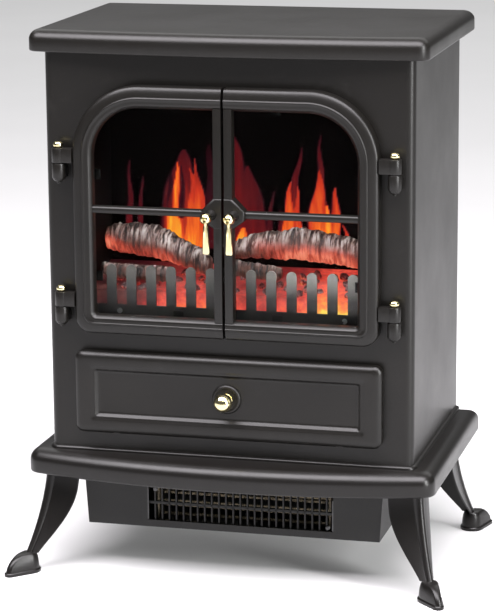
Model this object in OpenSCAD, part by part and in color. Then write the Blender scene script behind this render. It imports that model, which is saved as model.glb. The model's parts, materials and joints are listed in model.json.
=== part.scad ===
// Free-standing electric stove with a log-fire window and a fan heater under its base.
// X is the width, -Y the front and Z up. The origin is on the floor in the middle of the four feet.

/* [Overall] */
// Height from the floor to the top of the lid
overall_h = 540; // [500:5:660]
// Height of the underside of the base above the floor
leg_h = 100; // [90:1:130]

/* [Lid] */
// Thickness of the lid
lid_t = 21; // [16:1:30]
// Overhang of the lid past each side of the casing
lid_side = 14; // [10:1:24]
// Overhang of the lid's front corners past the casing
lid_front = 8; // [4:1:20]
// Overhang of the lid past the back of the casing
lid_back = 7; // [4:0.5:7.5]
// Bow of the lid's front edge at its middle
lid_bow = 13; // [4:1:24]
// Radius of the lid's front corners
lid_r = 12; // [8:1:20]
// Half-round nose along the lid's edge, as its depth
lid_nose = 6; // [3:0.5:8]

/* [Casing] */
// Width of the casing
body_w = 364; // [340:2:450]
// Depth of the casing
body_d = 236; // [224:2:290]
// Thickness of the steel sheet
sheet = 1.5; // [1:0.1:2]
// Outer radius of the casing's front corners
casing_r = 8; // [5:1:14]
// Width of the inward flanges at the casing's top, bottom and back
flange_w = 12; // [10:1:18]

/* [Base] */
// Thickness of the base moulding
base_t = 25; // [20:1:36]
// Overhang of the base past each side of the casing
base_side = 22.5; // [18:0.5:34]
// Overhang of the base's front corners past the casing
base_front = 12.3; // [8:0.1:20]
// Overhang of the base past the back of the casing
base_back = 8; // [6:0.5:14]
// Bow of the base's front edge at its middle
base_bow = 28; // [10:1:34]
// Radius of the base's front corners
base_r = 16; // [10:1:24]
// Height of the base's plain edge below its shoulder
base_edge_h = 15; // [10:1:18]
// Wall of the base moulding
base_wall = 2.5; // [2:0.1:4]

/* [Legs] */
// Reach of the toes past each side of the base
toe_side = 16.5; // [8:0.5:24]
// Reach of the front toes past the base's front corners
toe_front = 34.7; // [24:0.1:44]
// Reach of the rear toes past the back of the base
toe_back = 1; // [1:0.5:14]
// Width of a leg's two webs where they meet the base
leg_web = 35; // [28:1:42]
// Width of a leg's two webs at the ankle
ankle_web = 13; // [11:0.5:18]
// Thickness of a leg's webs
leg_wall = 3; // [2.5:0.1:4]
// Height of the foot up to the ankle
foot_h = 20; // [16:1:26]

/* [Doors] */
// Margin between the doors and the side of the casing
door_side = 31.4; // [29:0.1:40]
// Margin between the doors and the lid
door_down = 30; // [24:1:50]
// Gap between the flap and the doors
door_up = 19.8; // [16:0.1:30]
// Gap between the two door leaves
door_gap = 2.6; // [1.6:0.1:4]
// Thickness of a door leaf
door_t = 17; // [14:0.5:20]
// Radius of the doors' top outer corners
door_rt = 68; // [40:1:90]
// Radius of the doors' bottom outer corners
door_rb = 16; // [8:1:20]
// Width of the outer stiles
stile_w = 20; // [17:0.5:26]
// Width of the top rails
top_rail = 21; // [17:0.5:28]
// Width of the bottom rails
low_rail = 18.6; // [17:0.1:26]
// Width of the centre stiles
centre_stile = 8; // [7:0.5:14]
// Height of the glazing bar
bar_h = 7; // [5:0.5:12]
// Height of the glazing bar's middle above the bottom of the doors
bar_up = 122.4; // [90:0.1:150]
// Half width of the boss that carries the handles
boss_r = 20; // [17:0.5:26]
// Thickness of the glass
glass_t = 3; // [2:0.5:4]

/* [Hinges] */
// Radius of the hinge barrels
knuckle_r = 6.5; // [5:0.1:8]
// Height of one barrel
knuckle_h = 15; // [10:0.5:20]
// Radius of the hinge pins
hinge_pin_r = 2.2; // [1.8:0.1:3]
// Distance from the doors' edge to the hinge axis
hinge_out = 14.6; // [12:0.1:16]
// Distance from the casing's front to the hinge axis
hinge_fwd = 10; // [9:0.5:12]
// Height of the lower hinges' joint line above the bottom of the doors
hinge_low = 24.7; // [22:0.1:40]
// Depth of the upper hinges' joint line below the top of the doors
hinge_high = 77; // [70:1:100]

/* [Handles] */
// Distance of each handle from the middle of the stove
handle_x = 11.3; // [9:0.1:15]
// Radius of the handle balls
ball_r = 5.8; // [5:0.1:8]
// Distance from the doors to the middle of the balls
ball_out = 19; // [14:0.5:26]
// Length of the drop below the ball's middle
drop_len = 34; // [24:1:44]
// Thickness of the drop
drop_t = 3; // [2:0.1:3.6]

/* [Flap] */
// Margin between the flap and the side of the casing
flap_side = 29; // [26:0.5:40]
// Gap between the base and the flap
flap_up = 19.8; // [16:0.1:30]
// Height of the flap
flap_h = 81.2; // [74:0.1:100]
// Thickness of the flap
flap_t = 12; // [10:0.5:14]
// Radius of the flap's corners
flap_r = 7.5; // [4:0.5:14]
// Width of the raised border round the flap's recess
flap_border = 19; // [14:0.5:26]
// Depth of the flap's recess
flap_recess = 4.5; // [2:0.1:5]
// Radius of the flap's knob
knob_r = 9; // [7:0.5:12]
// Radius of the round plate under the knob
rosette_r = 14.5; // [12:0.5:18]

/* [Firebox] */
// Margin between the doors' outline and the opening behind them
open_inset = 14; // [12:0.5:16]
// Depth of the firebox behind the casing's front
firebox_d = 160; // [150:1:180]
// Distance from the casing's front to the face of the fret
fret_back = 11; // [8:1:16]
// Number of fret bars
fret_bars = 13; // [9:2:17]
// Distance between fret bars
fret_pitch = 20.1; // [14:0.1:20.4]
// Width of a fret bar
fret_bar_w = 9.8; // [6:0.1:11]
// Height of the fret's bars
fret_bar_h = 40; // [30:1:50]
// Distance from the casing's front to the flame screen
screen_back = 91; // [88:1:94]

/* [Heater] */
// Width of the heater housing at its top
heater_w = 303; // [290:1:330]
// Narrowing of the housing on each side towards its bottom
heater_draft = 3.5; // [0:0.5:6]
// Depth of the housing
heater_d = 160; // [150:1:175]
// Height of the housing below the base
heater_h = 54; // [50:1:60]
// Distance from the casing's front to the housing's front
heater_back = 8; // [4:1:14]
// Left end of the outlet
outlet_x0 = -87; // [-100:1:-80]
// Right end of the outlet
outlet_x1 = 102; // [90:1:106]
// Number of upright bars in the outlet grille
grille_bars = 24; // [12:1:30]
// Radius of the fan rotor
rotor_r = 18; // [14:0.5:18.5]
// Number of fan blades
blades = 16; // [8:1:24]

/* [Controls] */
// Depth of the control bay behind the casing's front
bay_d = 27; // [24:1:34]
// Width of a rocker
rocker_w = 14; // [12:0.5:18]
// Height of a rocker
rocker_h = 22; // [18:1:26]
// Tilt of a rocker each side of its middle
rocker_tilt = 8; // [5:1:10]
// Distance between neighbouring rockers
rocker_pitch = 34; // [30:1:40]
// Radius of the two control knobs
dial_r = 12; // [10:0.5:15]
// Bore of the cable gland
gland_bore_r = 4; // [3:0.5:5]

/* [Fits] */
// Running clearance round pins and shafts
run = 0.05; // [0.03:0.01:0.08]
// Gap between pieces that move past each other
gap = 0.4; // [0.3:0.1:0.6]
// Gap between fixed pieces that slide together
fit_gap = 0.3; // [0.2:0.1:0.5]

/* [Hidden] */
$fn = 48;

// Plan of the stove, from the toes inwards
base_w = body_w + 2 * base_side;
total_d = toe_front + base_front + body_d + base_back + toe_back;
toe_x = base_w / 2 + toe_side;
toe_y = total_d / 2;
body_y0 = -toe_y + toe_front + base_front;
body_y1 = body_y0 + body_d;
base_yf = body_y0 - base_front;
base_yb = body_y1 + base_back;
inner_y0 = body_y0 + sheet;

// Levels of the stove, from the floor up
body_z0 = leg_h + base_t;
body_z1 = overall_h - lid_t;
flap_z0 = body_z0 + flap_up;
door_z0 = flap_z0 + flap_h + door_up;
door_z1 = body_z1 - door_down;
door_h = door_z1 - door_z0;
pair_w = body_w - 2 * door_side;
leaf_w = (pair_w - door_gap) / 2;
bar_z = door_z0 + bar_up;

// Planes of the doors and the flap
lift = 0.8;
door_yb = body_y0 - lift;
door_yf = door_yb - door_t;
flap_w = body_w - 2 * flap_side;
flap_yb = body_y0 - lift;
flap_yf = flap_yb - flap_t;
flap_axis_r = flap_t / 2;
flap_axis_y = flap_yb - flap_axis_r;
flap_axis_z = flap_z0 + flap_axis_r;
knob_z = flap_z0 + flap_h / 2;
lug_x = flap_w / 2 - 41;
lug_w = 5;
flap_pin_r = 1.5;
flap_pin_len = 18;

// Opening behind the doors and the box behind the opening
open_w = pair_w - 2 * open_inset;
open_z0 = door_z0 + open_inset;
open_z1 = door_z1 - open_inset;
open_r = door_rt - open_inset;
liner_t = 1.2;
liner_w = open_w + 2 * 9;
liner_z0 = door_z0 - 24;
liner_z1 = open_z1 + 3;
liner_y0 = inner_y0 + 0.2;
liner_y1 = body_y0 + firebox_d;
inner_half = liner_w / 2 - liner_t;
floor_z = liner_z0 + liner_t;
screen_y = body_y0 + screen_back;
fret_y = body_y0 + fret_back;
fret_t = 2;
fret_rail_z1 = door_z0 + 24.4;
fret_screw_x = 5.6 * fret_pitch;

// Ember bed, as its front edge, its shoulder and its back edge
bed_y0 = fret_y + fret_t + 2;
bed_y1 = screen_y - 6;
bed_shoulder_z = fret_rail_z1 + 13;
bed_back_z = fret_rail_z1 + 29;
bed_t = 3;

// Hinges
hinge_x = pair_w / 2 + hinge_out;
hinge_y = body_y0 - hinge_fwd;
hinge_zs = [door_z0 + hinge_low, door_z1 - hinge_high];

// Heater
pan_t = 1.5;
heater_y0 = body_y0 + heater_back;
heater_y1 = heater_y0 + heater_d;
heater_z0 = leg_h - heater_h;
heater_rim_z = leg_h + pan_t;
heater_wall = 1.5;
outlet_z0 = heater_z0 + 7;
outlet_z1 = leg_h - 12;
rotor_y = heater_y0 + 96;
rotor_z = heater_z0 + 29;
rotor_x0 = outlet_x0 + 8;
rotor_x1 = outlet_x1 - 14;
fan_shaft_r = 2.5;

// Flame effect
spindle_y = screen_y + 38;
spindle_z = floor_z + 26;
spindle_x0 = -inner_half + 16;
spindle_x1 = inner_half - 28;
spindle_r = 2;
lamp_x = inner_half - 34;
lamp_y = (bed_y0 + bed_y1) / 2;
lamp_z = floor_z + 15;

// Control bay behind the flap
bay_w = flap_w - 42;
bay_z0 = flap_z0 + 9;
bay_z1 = flap_z0 + flap_h - 7;
bay_y1 = body_y0 + bay_d;
bay_wall = 1.5;
panel_y = bay_y1 - bay_wall;
bay_mid_z = (bay_z0 + bay_z1) / 2;
rocker_x = [-bay_w / 2 + 40, -bay_w / 2 + 40 + rocker_pitch, -bay_w / 2 + 40 + 2 * rocker_pitch];
dial_x = [bay_w / 2 - 96, bay_w / 2 - 40];
rocker_pin_r = 1.2;
dial_shaft_r = 3;

// Fastenings
screw_r = 1.8;
head_r = 3.6;
leg_screw_in = 12;
gland_x = body_w / 2 - 62;
gland_z = body_z0 + 26;
rear_t = 1.2;

// Points on an arc round a centre
function arc(cx, cy, r, a0, a1, n) =
  [for (i = [0:n]) [cx + r * cos(a0 + (a1 - a0) * i / n), cy + r * sin(a0 + (a1 - a0) * i / n)]];

// Centre height of the circle that gives a front edge its bow
function bow_radius(half, bow) = (half * half + bow * bow) / (2 * bow);

// Plan outline with straight sides and back, a bowed front and rounded front corners
function plan(half, yf, yb, bow, r) =
  let (
    big = bow_radius(half, bow),
    cy = yf - bow + big,
    ry = cy - sqrt((big - r) * (big - r) - (half - r) * (half - r)),
    turn = atan2(half - r, cy - ry)
  )
  concat(
    [[-half, yb]],
    arc(-half + r, ry, r, 180, 270 - turn, 7),
    arc(0, cy, big, 270 - turn, 270 + turn, 24),
    arc(half - r, ry, r, 270 + turn, 360, 7),
    [[half, yb]]
  );

// Upright outline with its own radius at the two top and the two bottom corners
function arch(w, h, rt, rb) =
  concat(
    arc(-w / 2 + rb, rb, rb, 180, 270, 8),
    arc(w / 2 - rb, rb, rb, 270, 360, 8),
    arc(w / 2 - rt, h - rt, rt, 0, 90, 16),
    arc(-w / 2 + rt, h - rt, rt, 90, 180, 16)
  );

// Outline of one door leaf, square at the meeting edge and rounded at the outer corners
function leaf(x0, x1, z0, z1, rt, rb) =
  concat(
    [[x0, z0]],
    arc(x1 - rb, z0 + rb, rb, 270, 360, 8),
    arc(x1 - rt, z1 - rt, rt, 0, 90, 16),
    [[x0, z1]]
  );

// Upright slab from a front-view outline, its back at y and its front nearer the viewer by t
module upright(y, t) {
  translate([0, y, 0])
    rotate([90, 0, 0])
      linear_extrude(t)
        children();
}

// Round bar along X, Y or Z
module bar_x(x0, x1, y, z, r) {
  translate([x0, y, z])
    rotate([0, 90, 0])
      cylinder(r = r, h = x1 - x0);
}
module bar_y(x, y0, y1, z, r) {
  translate([x, y1, z])
    rotate([90, 0, 0])
      cylinder(r = r, h = y1 - y0);
}

// Block from its low corner to its high corner
module block(low, high) {
  translate(low)
    cube(high - low);
}

// Horizontal slab with the plan outline above, drawn in by an inset
module plan_slab(half, yf, yb, bow, r, inset, z, h) {
  translate([0, 0, z])
    linear_extrude(h)
      polygon(plan(half - inset, yf + inset, yb - inset, bow, r - inset));
}

// Casing outline seen from above, open at the back
module casing_plan(inset, back) {
  half = body_w / 2 - inset;
  r = casing_r - inset;
  y0 = body_y0 + inset;
  polygon(concat(
    [[-half, back]],
    arc(-half + r, y0 + r, r, 180, 270, 6),
    arc(half - r, y0 + r, r, 270, 360, 6),
    [[half, back]]
  ));
}

// Pressed lid, hollow underneath, with a return edge that rests on the casing
module lid_slab(inset, z, h) {
  half = body_w / 2 + lid_side;
  plan_slab(half, body_y0 - lid_front, body_y1 + lid_back, lid_bow, lid_r, inset, z, h);
}
module top_plate() {
  lid_wall = 2;
  color([0.2, 0.19, 0.18])
    difference() {
      hull() {
        lid_slab(lid_nose * 0.5, body_z1, lid_t - 1);
        lid_slab(0, body_z1 + lid_t * 0.25, lid_t * 0.35);
        lid_slab(lid_nose, body_z1 + lid_t - 1, 1);
      }
      lid_slab(lid_nose + lid_wall, body_z1 + lid_wall, lid_t - 2 * lid_wall);
      translate([0, 0, body_z1 - 1])
        linear_extrude(lid_wall + 2)
          polygon([
            [-body_w / 2 + 30, body_y0 + 30], [body_w / 2 - 30, body_y0 + 30],
            [body_w / 2 - 30, body_y1 - 30], [-body_w / 2 + 30, body_y1 - 30]
          ]);
    }
}

// Front and sides folded from one sheet, with the doors' and the flap's openings
module casing() {
  color([0.2, 0.19, 0.18])
    difference() {
      translate([0, 0, body_z0])
        linear_extrude(body_z1 - body_z0)
          casing_plan(0, body_y1);
      translate([0, 0, body_z0 + sheet])
        linear_extrude(body_z1 - body_z0 - 2 * sheet)
          casing_plan(sheet, body_y1 - sheet);
      block(
        [-body_w / 2 + flange_w, body_y0 + flange_w, body_z0 - 1],
        [body_w / 2 - flange_w, body_y1 - flange_w, body_z1 + 1]
      );
      block(
        [-body_w / 2 + flange_w, body_y1 - flange_w - 1, body_z0 + flange_w],
        [body_w / 2 - flange_w, body_y1 + 1, body_z1 - flange_w]
      );
      upright(body_y0 + sheet + 1, sheet + 2)
        translate([0, open_z0])
          polygon(arch(open_w, open_z1 - open_z0, open_r, 4));
      upright(body_y0 + sheet + 1, sheet + 2)
        translate([0, bay_z0 + bay_wall])
          polygon(arch(bay_w - 2 * bay_wall, bay_z1 - bay_z0 - 2 * bay_wall, 3, 3));
      for (p = rear_screw_spots())
        bar_y(p[0], body_y1 - sheet - 1, body_y1 + 1, p[1], screw_r);
    }
}

// Places of the screws round the rear cover, as x and z
function rear_screw_spots() =
  [for (x = [-body_w / 2 + 8, body_w / 2 - 8], t = [0.06, 0.5, 0.94])
    [x, body_z0 + t * (body_z1 - body_z0)]];

// Rear sheet with two fields of air slots and the hole for the cable gland
module rear_cover() {
  slot_w = 62;
  slot_h = 4;
  slots = 9;
  color([0.16, 0.16, 0.16])
    difference() {
      block(
        [-body_w / 2 + 3, body_y1, body_z0 + 4],
        [body_w / 2 - 3, body_y1 + rear_t, body_z1 - 4]
      );
      for (side = [-1, 1], i = [0:slots - 1])
        block(
          [side * 66 - slot_w / 2, body_y1 - 1, body_z1 - 50 - i * 11 - slot_h],
          [side * 66 + slot_w / 2, body_y1 + rear_t + 1, body_z1 - 50 - i * 11]
        );
      for (i = [0:slots - 1])
        block(
          [-40 - slot_w, body_y1 - 1, body_z0 + 24 + i * 9],
          [-40, body_y1 + rear_t + 1, body_z0 + 24 + i * 9 + slot_h]
        );
      bar_y(gland_x, body_y1 - 1, body_y1 + rear_t + 1, gland_z, gland_bore_r + 3);
      for (p = rear_screw_spots())
        bar_y(p[0], body_y1 - 1, body_y1 + rear_t + 1, p[1], screw_r + 0.2);
    }
}

// Base moulding with a bowed front, a plain edge and a rounded shoulder
module base_slab(inset, z, h) {
  plan_slab(base_w / 2, base_yf, base_yb, base_bow, base_r, inset, z, h);
}
module base_plinth() {
  step_in = 10;
  deck_in = 34;
  color([0.2, 0.19, 0.18])
    difference() {
      union() {
        hull() {
          base_slab(0, leg_h, base_edge_h);
          base_slab(4, leg_h, base_edge_h + 5);
        }
        base_slab(step_in, leg_h + base_edge_h, base_t - base_edge_h);
      }
      base_slab(step_in + base_wall, leg_h + base_edge_h - base_wall, base_t - base_edge_h);
      base_slab(base_wall, leg_h - 1, base_edge_h - base_wall + 1);
      block(
        [-body_w / 2 + deck_in, body_y0 + deck_in, leg_h],
        [body_w / 2 - deck_in, body_y1 - deck_in, body_z0 + 1]
      );
    }
}

// Places of a leg's corner at the base and at the ankle, for the leg in the +X +Y corner
leg_top = [base_w / 2 - 13.5, toe_y - 51];
ankle = [toe_x - 15, toe_y - 26];

// Sheet that closes the base underneath and carries the legs and the heater
module base_pan() {
  color([0.13, 0.13, 0.12])
    difference() {
      base_slab(base_wall + fit_gap, leg_h, pan_t);
      block(
        [-heater_w / 2 - fit_gap, heater_y0 - fit_gap, leg_h - 1],
        [heater_w / 2 + fit_gap, heater_y1 + fit_gap, leg_h + pan_t + 1]
      );
      for (sx = [-1, 1], sy = [-1, 1])
        translate([sx * (leg_top[0] - leg_screw_in), sy * (leg_top[1] - leg_screw_in), leg_h - 1])
          cylinder(r = screw_r, h = pan_t + 2);
    }
}

// How far a leg has swept out at height share t, from 0 at the base to 1 at the ankle
function sweep(t) = 0.35 * t + 0.65 * t * t;

// Width of the webs at height share t: full for a while, then a curve down to the ankle
function web_width(t) =
  ankle_web + (leg_web - ankle_web) * (t < 0.22 ? 1 : pow(cos(90 * (t - 0.22) / 0.78), 1.15));

// Angle section of a leg with a rounded outer corner, its corner at the origin
function leg_section(web, wall, r) =
  concat(
    [[-web, 0]],
    arc(-r, -r, r, 90, 0, 5),
    [[0, -web], [-wall, -web]],
    arc(-r, -r, r - wall, 0, 90, 5),
    [[-web, -wall]]
  );

// One swept leg for the +X +Y corner, with a screw flange under the base
module leg() {
  rings = 9;
  leg_z1 = leg_h - 0.6;
  corner_r = 9;
  points_per_ring = len(leg_section(leg_web, leg_wall, corner_r));
  points = [
    for (i = [0:rings - 1])
      let (
        t = i / (rings - 1),
        s = sweep(t),
        z = leg_z1 + (foot_h - leg_z1) * t,
        cx = leg_top[0] + (ankle[0] - leg_top[0]) * s,
        cy = leg_top[1] + (ankle[1] - leg_top[1]) * s
      )
      for (p = leg_section(web_width(t), leg_wall, corner_r)) [cx + p[0], cy + p[1], z]
  ];
  sides = [
    for (i = [0:rings - 2], j = [0:points_per_ring - 1])
      let (
        k = (j + 1) % points_per_ring,
        a = i * points_per_ring,
        b = a + points_per_ring
      )
      each [[a + j, b + k, a + k], [a + j, b + j, b + k]]
  ];
  last = (rings - 1) * points_per_ring;
  n = points_per_ring;
  top_faces = [for (j = [0:n / 2 - 2]) each [[j, j + 1, n - 2 - j], [j, n - 2 - j, n - 1 - j]]];
  low_faces = [for (f = top_faces) [last + f[2], last + f[1], last + f[0]]];
  polyhedron(points, concat(top_faces, sides, low_faces));
  difference() {
    block(
      [leg_top[0] - leg_web + 6, leg_top[1] - leg_web + 6, leg_h - leg_wall],
      [leg_top[0] - leg_wall / 2, leg_top[1] - leg_wall / 2, leg_h]
    );
    translate([leg_top[0] - leg_screw_in, leg_top[1] - leg_screw_in, leg_h - leg_wall - 1])
      cylinder(r = screw_r, h = leg_wall + 2);
  }
}
module legs(sy) {
  color([0.19, 0.18, 0.17])
    for (sx = [0, 1])
      mirror([sx, 0, 0])
        mirror([0, sy, 0])
          leg();
}
module front_legs() {
  legs(1);
}
module rear_legs() {
  legs(0);
}

// Moulded feet, each a pad with a long rounded toe and a flat sole
module feet() {
  toe_r = 5.5;
  heel = [ankle[0] - 5, ankle[1] - 5];
  color([0.17, 0.16, 0.15])
    for (sx = [0, 1], sy = [0, 1])
      mirror([sx, 0, 0])
        mirror([0, sy, 0])
          hull() {
            translate([heel[0], heel[1], foot_h - 3])
              cylinder(r = 10, h = 3, $fn = 32);
            translate([heel[0] + 2, heel[1] + 4, 0])
              cylinder(r = 12, h = 7, $fn = 32);
            translate([toe_x - toe_r, toe_y - toe_r, 0])
              cylinder(r = toe_r, h = 4, $fn = 32);
          }
}

// Housing of the fan heater, narrower towards its bottom and open at the top
module heater_shape(inset, z_low, z_high) {
  polygon([
    [-heater_w / 2 + heater_draft + inset, z_low], [heater_w / 2 - heater_draft - inset, z_low],
    [heater_w / 2 - inset, leg_h], [heater_w / 2 - inset, z_high],
    [-heater_w / 2 + inset, z_high], [-heater_w / 2 + inset, leg_h]
  ]);
}
module heater_housing() {
  rim = 8;
  color([0.1, 0.1, 0.09])
    difference() {
      union() {
        upright(heater_y1, heater_d)
          heater_shape(0, heater_z0, heater_rim_z + heater_wall);
        block(
          [-heater_w / 2 - rim, heater_y0 - 4, heater_rim_z],
          [heater_w / 2 + rim, heater_y1 + rim, heater_rim_z + heater_wall]
        );
      }
      upright(heater_y1 - heater_wall, heater_d - 2 * heater_wall)
        heater_shape(heater_wall, heater_z0 + heater_wall, heater_rim_z + heater_wall + 1);
      block(
        [outlet_x0, heater_y0 - 1, outlet_z0],
        [outlet_x1, heater_y0 + heater_wall + 1, outlet_z1]
      );
      for (i = [0:19])
        block(
          [-heater_w / 2 + 30 + i * 12.4, heater_y1 - heater_wall - 1, heater_z0 + 12],
          [-heater_w / 2 + 34 + i * 12.4, heater_y1 + 1, heater_z0 + 42]
        );
    }
}

// Outlet grille set just inside the housing, with upright bars and one cross rib
module outlet_grille() {
  y0 = heater_y0 + heater_wall;
  depth = 6;
  border = 3;
  pitch = (outlet_x1 - outlet_x0) / grille_bars;
  rib_z = (outlet_z0 + outlet_z1) / 2;
  color([0.24, 0.24, 0.23]) {
    difference() {
      block([outlet_x0 - border, y0, outlet_z0 - border], [outlet_x1 + border, y0 + depth, outlet_z1 + border]);
      block([outlet_x0, y0 - 1, outlet_z0], [outlet_x1, y0 + depth + 1, outlet_z1]);
    }
    for (i = [1:grille_bars - 1])
      block(
        [outlet_x0 + i * pitch - 0.8, y0 + 1, outlet_z0],
        [outlet_x0 + i * pitch + 0.8, y0 + depth - 1, outlet_z1]
      );
    block([outlet_x0, y0 + 1.5, rib_z - 1.2], [outlet_x1, y0 + depth - 1.5, rib_z + 1.2]);
  }
}

// Heating rods between two end plates, behind the outlet
element_y = heater_y0 + 26;
module heating_element() {
  rods = 5;
  plate_t = 2;
  plate_d = 20;
  x0 = outlet_x0 + 6;
  x1 = outlet_x1 - 6;
  z0 = heater_z0 + heater_wall;
  color([0.72, 0.7, 0.66]) {
    for (x = [x0, x1 - plate_t])
      block([x, element_y - plate_d / 2, z0], [x + plate_t, element_y + plate_d / 2, z0 + 40]);
    for (i = [0:rods - 1])
      bar_x(x0 + plate_t / 2, x1 - plate_t / 2, element_y + (i % 2 == 0 ? -4 : 4), z0 + 7 + i * 6.5, 1.6);
  }
}

// Round thermal cut-out on the right end plate of the heating element
module thermal_cutout() {
  x = outlet_x1 - 6;
  color([0.62, 0.5, 0.36])
    bar_x(x, x + 9, element_y, heater_z0 + 26, 7);
}

// Drum of the cross-flow fan: three rings, a ring of blades and the shaft
module fan_rotor() {
  disc_t = 1.5;
  blade_w = 7;
  color([0.75, 0.76, 0.78]) {
    for (t = [0, 0.5, 1])
      translate([rotor_x0 + t * (rotor_x1 - rotor_x0 - disc_t), rotor_y, rotor_z])
        rotate([0, 90, 0])
          cylinder(r = rotor_r, h = disc_t);
    for (i = [0:blades - 1])
      translate([rotor_x0, rotor_y, rotor_z])
        rotate([i * 360 / blades, 0, 0])
          translate([0, rotor_r - blade_w - 1, -0.4])
            cube([rotor_x1 - rotor_x0, blade_w, 0.8]);
    bar_x(rotor_x0 - 12, rotor_x1 + 12, rotor_y, rotor_z, fan_shaft_r);
  }
}

// Motor of the fan: a squat can with a square foot
module fan_motor() {
  x0 = rotor_x1 + 6;
  motor_len = 32;
  color([0.5, 0.5, 0.5])
    difference() {
      union() {
        bar_x(x0, x0 + motor_len, rotor_y, rotor_z, 20);
        block(
          [x0 + 4, rotor_y - 14, heater_z0 + heater_wall],
          [x0 + motor_len - 4, rotor_y + 14, rotor_z]
        );
      }
      bar_x(x0 - 1, x0 + 10, rotor_y, rotor_z, fan_shaft_r + run);
    }
}

// Curved sheet round the back of the rotor that turns the air to the outlet
module fan_scroll() {
  wall = 1;
  r = rotor_r + 5;
  color([0.6, 0.6, 0.6])
    difference() {
      bar_x(rotor_x0, rotor_x1, rotor_y, rotor_z, r);
      bar_x(rotor_x0 - 1, rotor_x1 + 1, rotor_y, rotor_z, r - wall);
      block([rotor_x0 - 1, rotor_y - r - 1, rotor_z - r - 1], [rotor_x1 + 1, rotor_y, rotor_z + r + 1]);
      block(
        [rotor_x0 - 1, rotor_y - 1, rotor_z - r - 1],
        [rotor_x1 + 1, rotor_y + r + 1, heater_z0 + heater_wall + 2]
      );
    }
}

// Plain bearings for the left ends of the fan shaft and the flame spindle
module shaft_bearings() {
  plate_t = 5;
  color([0.3, 0.3, 0.3]) {
    difference() {
      block(
        [rotor_x0 - 8 - plate_t, rotor_y - 8, heater_z0 + heater_wall],
        [rotor_x0 - 8, rotor_y + 8, rotor_z + 8]
      );
      bar_x(rotor_x0 - 9 - plate_t, rotor_x0 - 7, rotor_y, rotor_z, fan_shaft_r + run);
    }
    difference() {
      block(
        [spindle_x0 - 3 - plate_t, spindle_y - 8, floor_z],
        [spindle_x0 - 3, spindle_y + 8, spindle_z + 8]
      );
      bar_x(spindle_x0 - 4 - plate_t, spindle_x0 - 2, spindle_y, spindle_z, spindle_r + run);
    }
  }
}

// Black sheet box behind the doors, open towards them
module firebox_liner() {
  color([0.05, 0.05, 0.05])
    difference() {
      block([-liner_w / 2, liner_y0, liner_z0], [liner_w / 2, liner_y1, liner_z1]);
      block(
        [-inner_half, liner_y0 - 1, liner_z0 + liner_t],
        [inner_half, liner_y1 - liner_t, liner_z1 - liner_t]
      );
      for (i = [0:7])
        block(
          [-70 + i * 18, liner_y1 - liner_t - 1, liner_z1 - 34],
          [-62 + i * 18, liner_y1 + 1, liner_z1 - 14]
        );
    }
}

// Smoked screen that the flames are thrown on
module flame_screen() {
  color([0.12, 0.06, 0.05])
    block(
      [-inner_half + fit_gap, screen_y, floor_z],
      [inner_half - fit_gap, screen_y + 3, liner_z1 - liner_t - fit_gap]
    );
}

// Outline of one flame-shaped slot: a wavy tongue of a given height and half width
function flame(h, half, lean) =
  concat(
    [for (i = [0:8]) let (t = i / 8) [lean * t * t + half * (1 - t) * sin(30 + 150 * t) + 0.6, h * t]],
    [for (i = [8:-1:0]) let (t = i / 8) [lean * t * t - half * (1 - t) * sin(30 + 150 * t) - 0.6, h * t]]
  );

// Sheet with flame-shaped slots between the spindle and the screen
module flame_template() {
  count = 9;
  step = (2 * inner_half - 40) / count;
  color([0.3, 0.3, 0.3])
    difference() {
      block(
        [-inner_half + fit_gap, screen_y + 14, floor_z],
        [inner_half - fit_gap, screen_y + 15, liner_z1 - liner_t - 30]
      );
      for (i = [0:count - 1])
        upright(screen_y + 16, 3)
          translate([-inner_half + 20 + (i + 0.5) * step, floor_z + 52])
            polygon(flame(90 + 30 * sin(i * 140), step * 0.42, 8 * sin(i * 97)));
    }
}

// Spindle with rows of reflecting foil vanes
module flame_spindle() {
  vanes = 14;
  length = spindle_x1 - spindle_x0;
  color([0.85, 0.85, 0.86]) {
    bar_x(spindle_x0 - 8, spindle_x1 + 10, spindle_y, spindle_z, spindle_r);
    for (i = [0:vanes - 1])
      translate([spindle_x0 + (i + 0.5) * length / vanes, spindle_y, spindle_z])
        rotate([i * 51, 0, 0])
          translate([-7, -14, -0.3])
            cube([14, 28, 0.6]);
  }
}

// Slow motor that turns the flame spindle
module spindle_motor() {
  x0 = spindle_x1 + 4;
  color([0.7, 0.66, 0.5])
    difference() {
      union() {
        bar_x(x0, x0 + 16, spindle_y, spindle_z, 20);
        block([x0 + 2, spindle_y - 10, floor_z], [x0 + 14, spindle_y + 10, spindle_z]);
      }
      bar_x(x0 - 1, x0 + 8, spindle_y, spindle_z, spindle_r + run);
    }
}

// Lamp holders on the firebox floor
module lamp_holders() {
  color([0.85, 0.84, 0.8])
    for (side = [0, 1])
      mirror([side, 0, 0]) {
        bar_x(lamp_x, lamp_x + 24, lamp_y, lamp_z, 9.5);
        block([lamp_x + 4, lamp_y - 7, floor_z], [lamp_x + 20, lamp_y + 7, lamp_z]);
      }
}

// Candle lamps lying on their sides under the ember bed
module lamp_bulbs() {
  color([1, 0.9, 0.65])
    for (side = [0, 1])
      mirror([side, 0, 0])
        translate([lamp_x, lamp_y, lamp_z])
          rotate([0, -90, 0]) {
            cylinder(r = 6, h = 10);
            translate([0, 0, 10])
              cylinder(r1 = 6, r2 = 10, h = 10);
            translate([0, 0, 20])
              cylinder(r1 = 10, r2 = 3, h = 28);
          }
}

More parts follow.
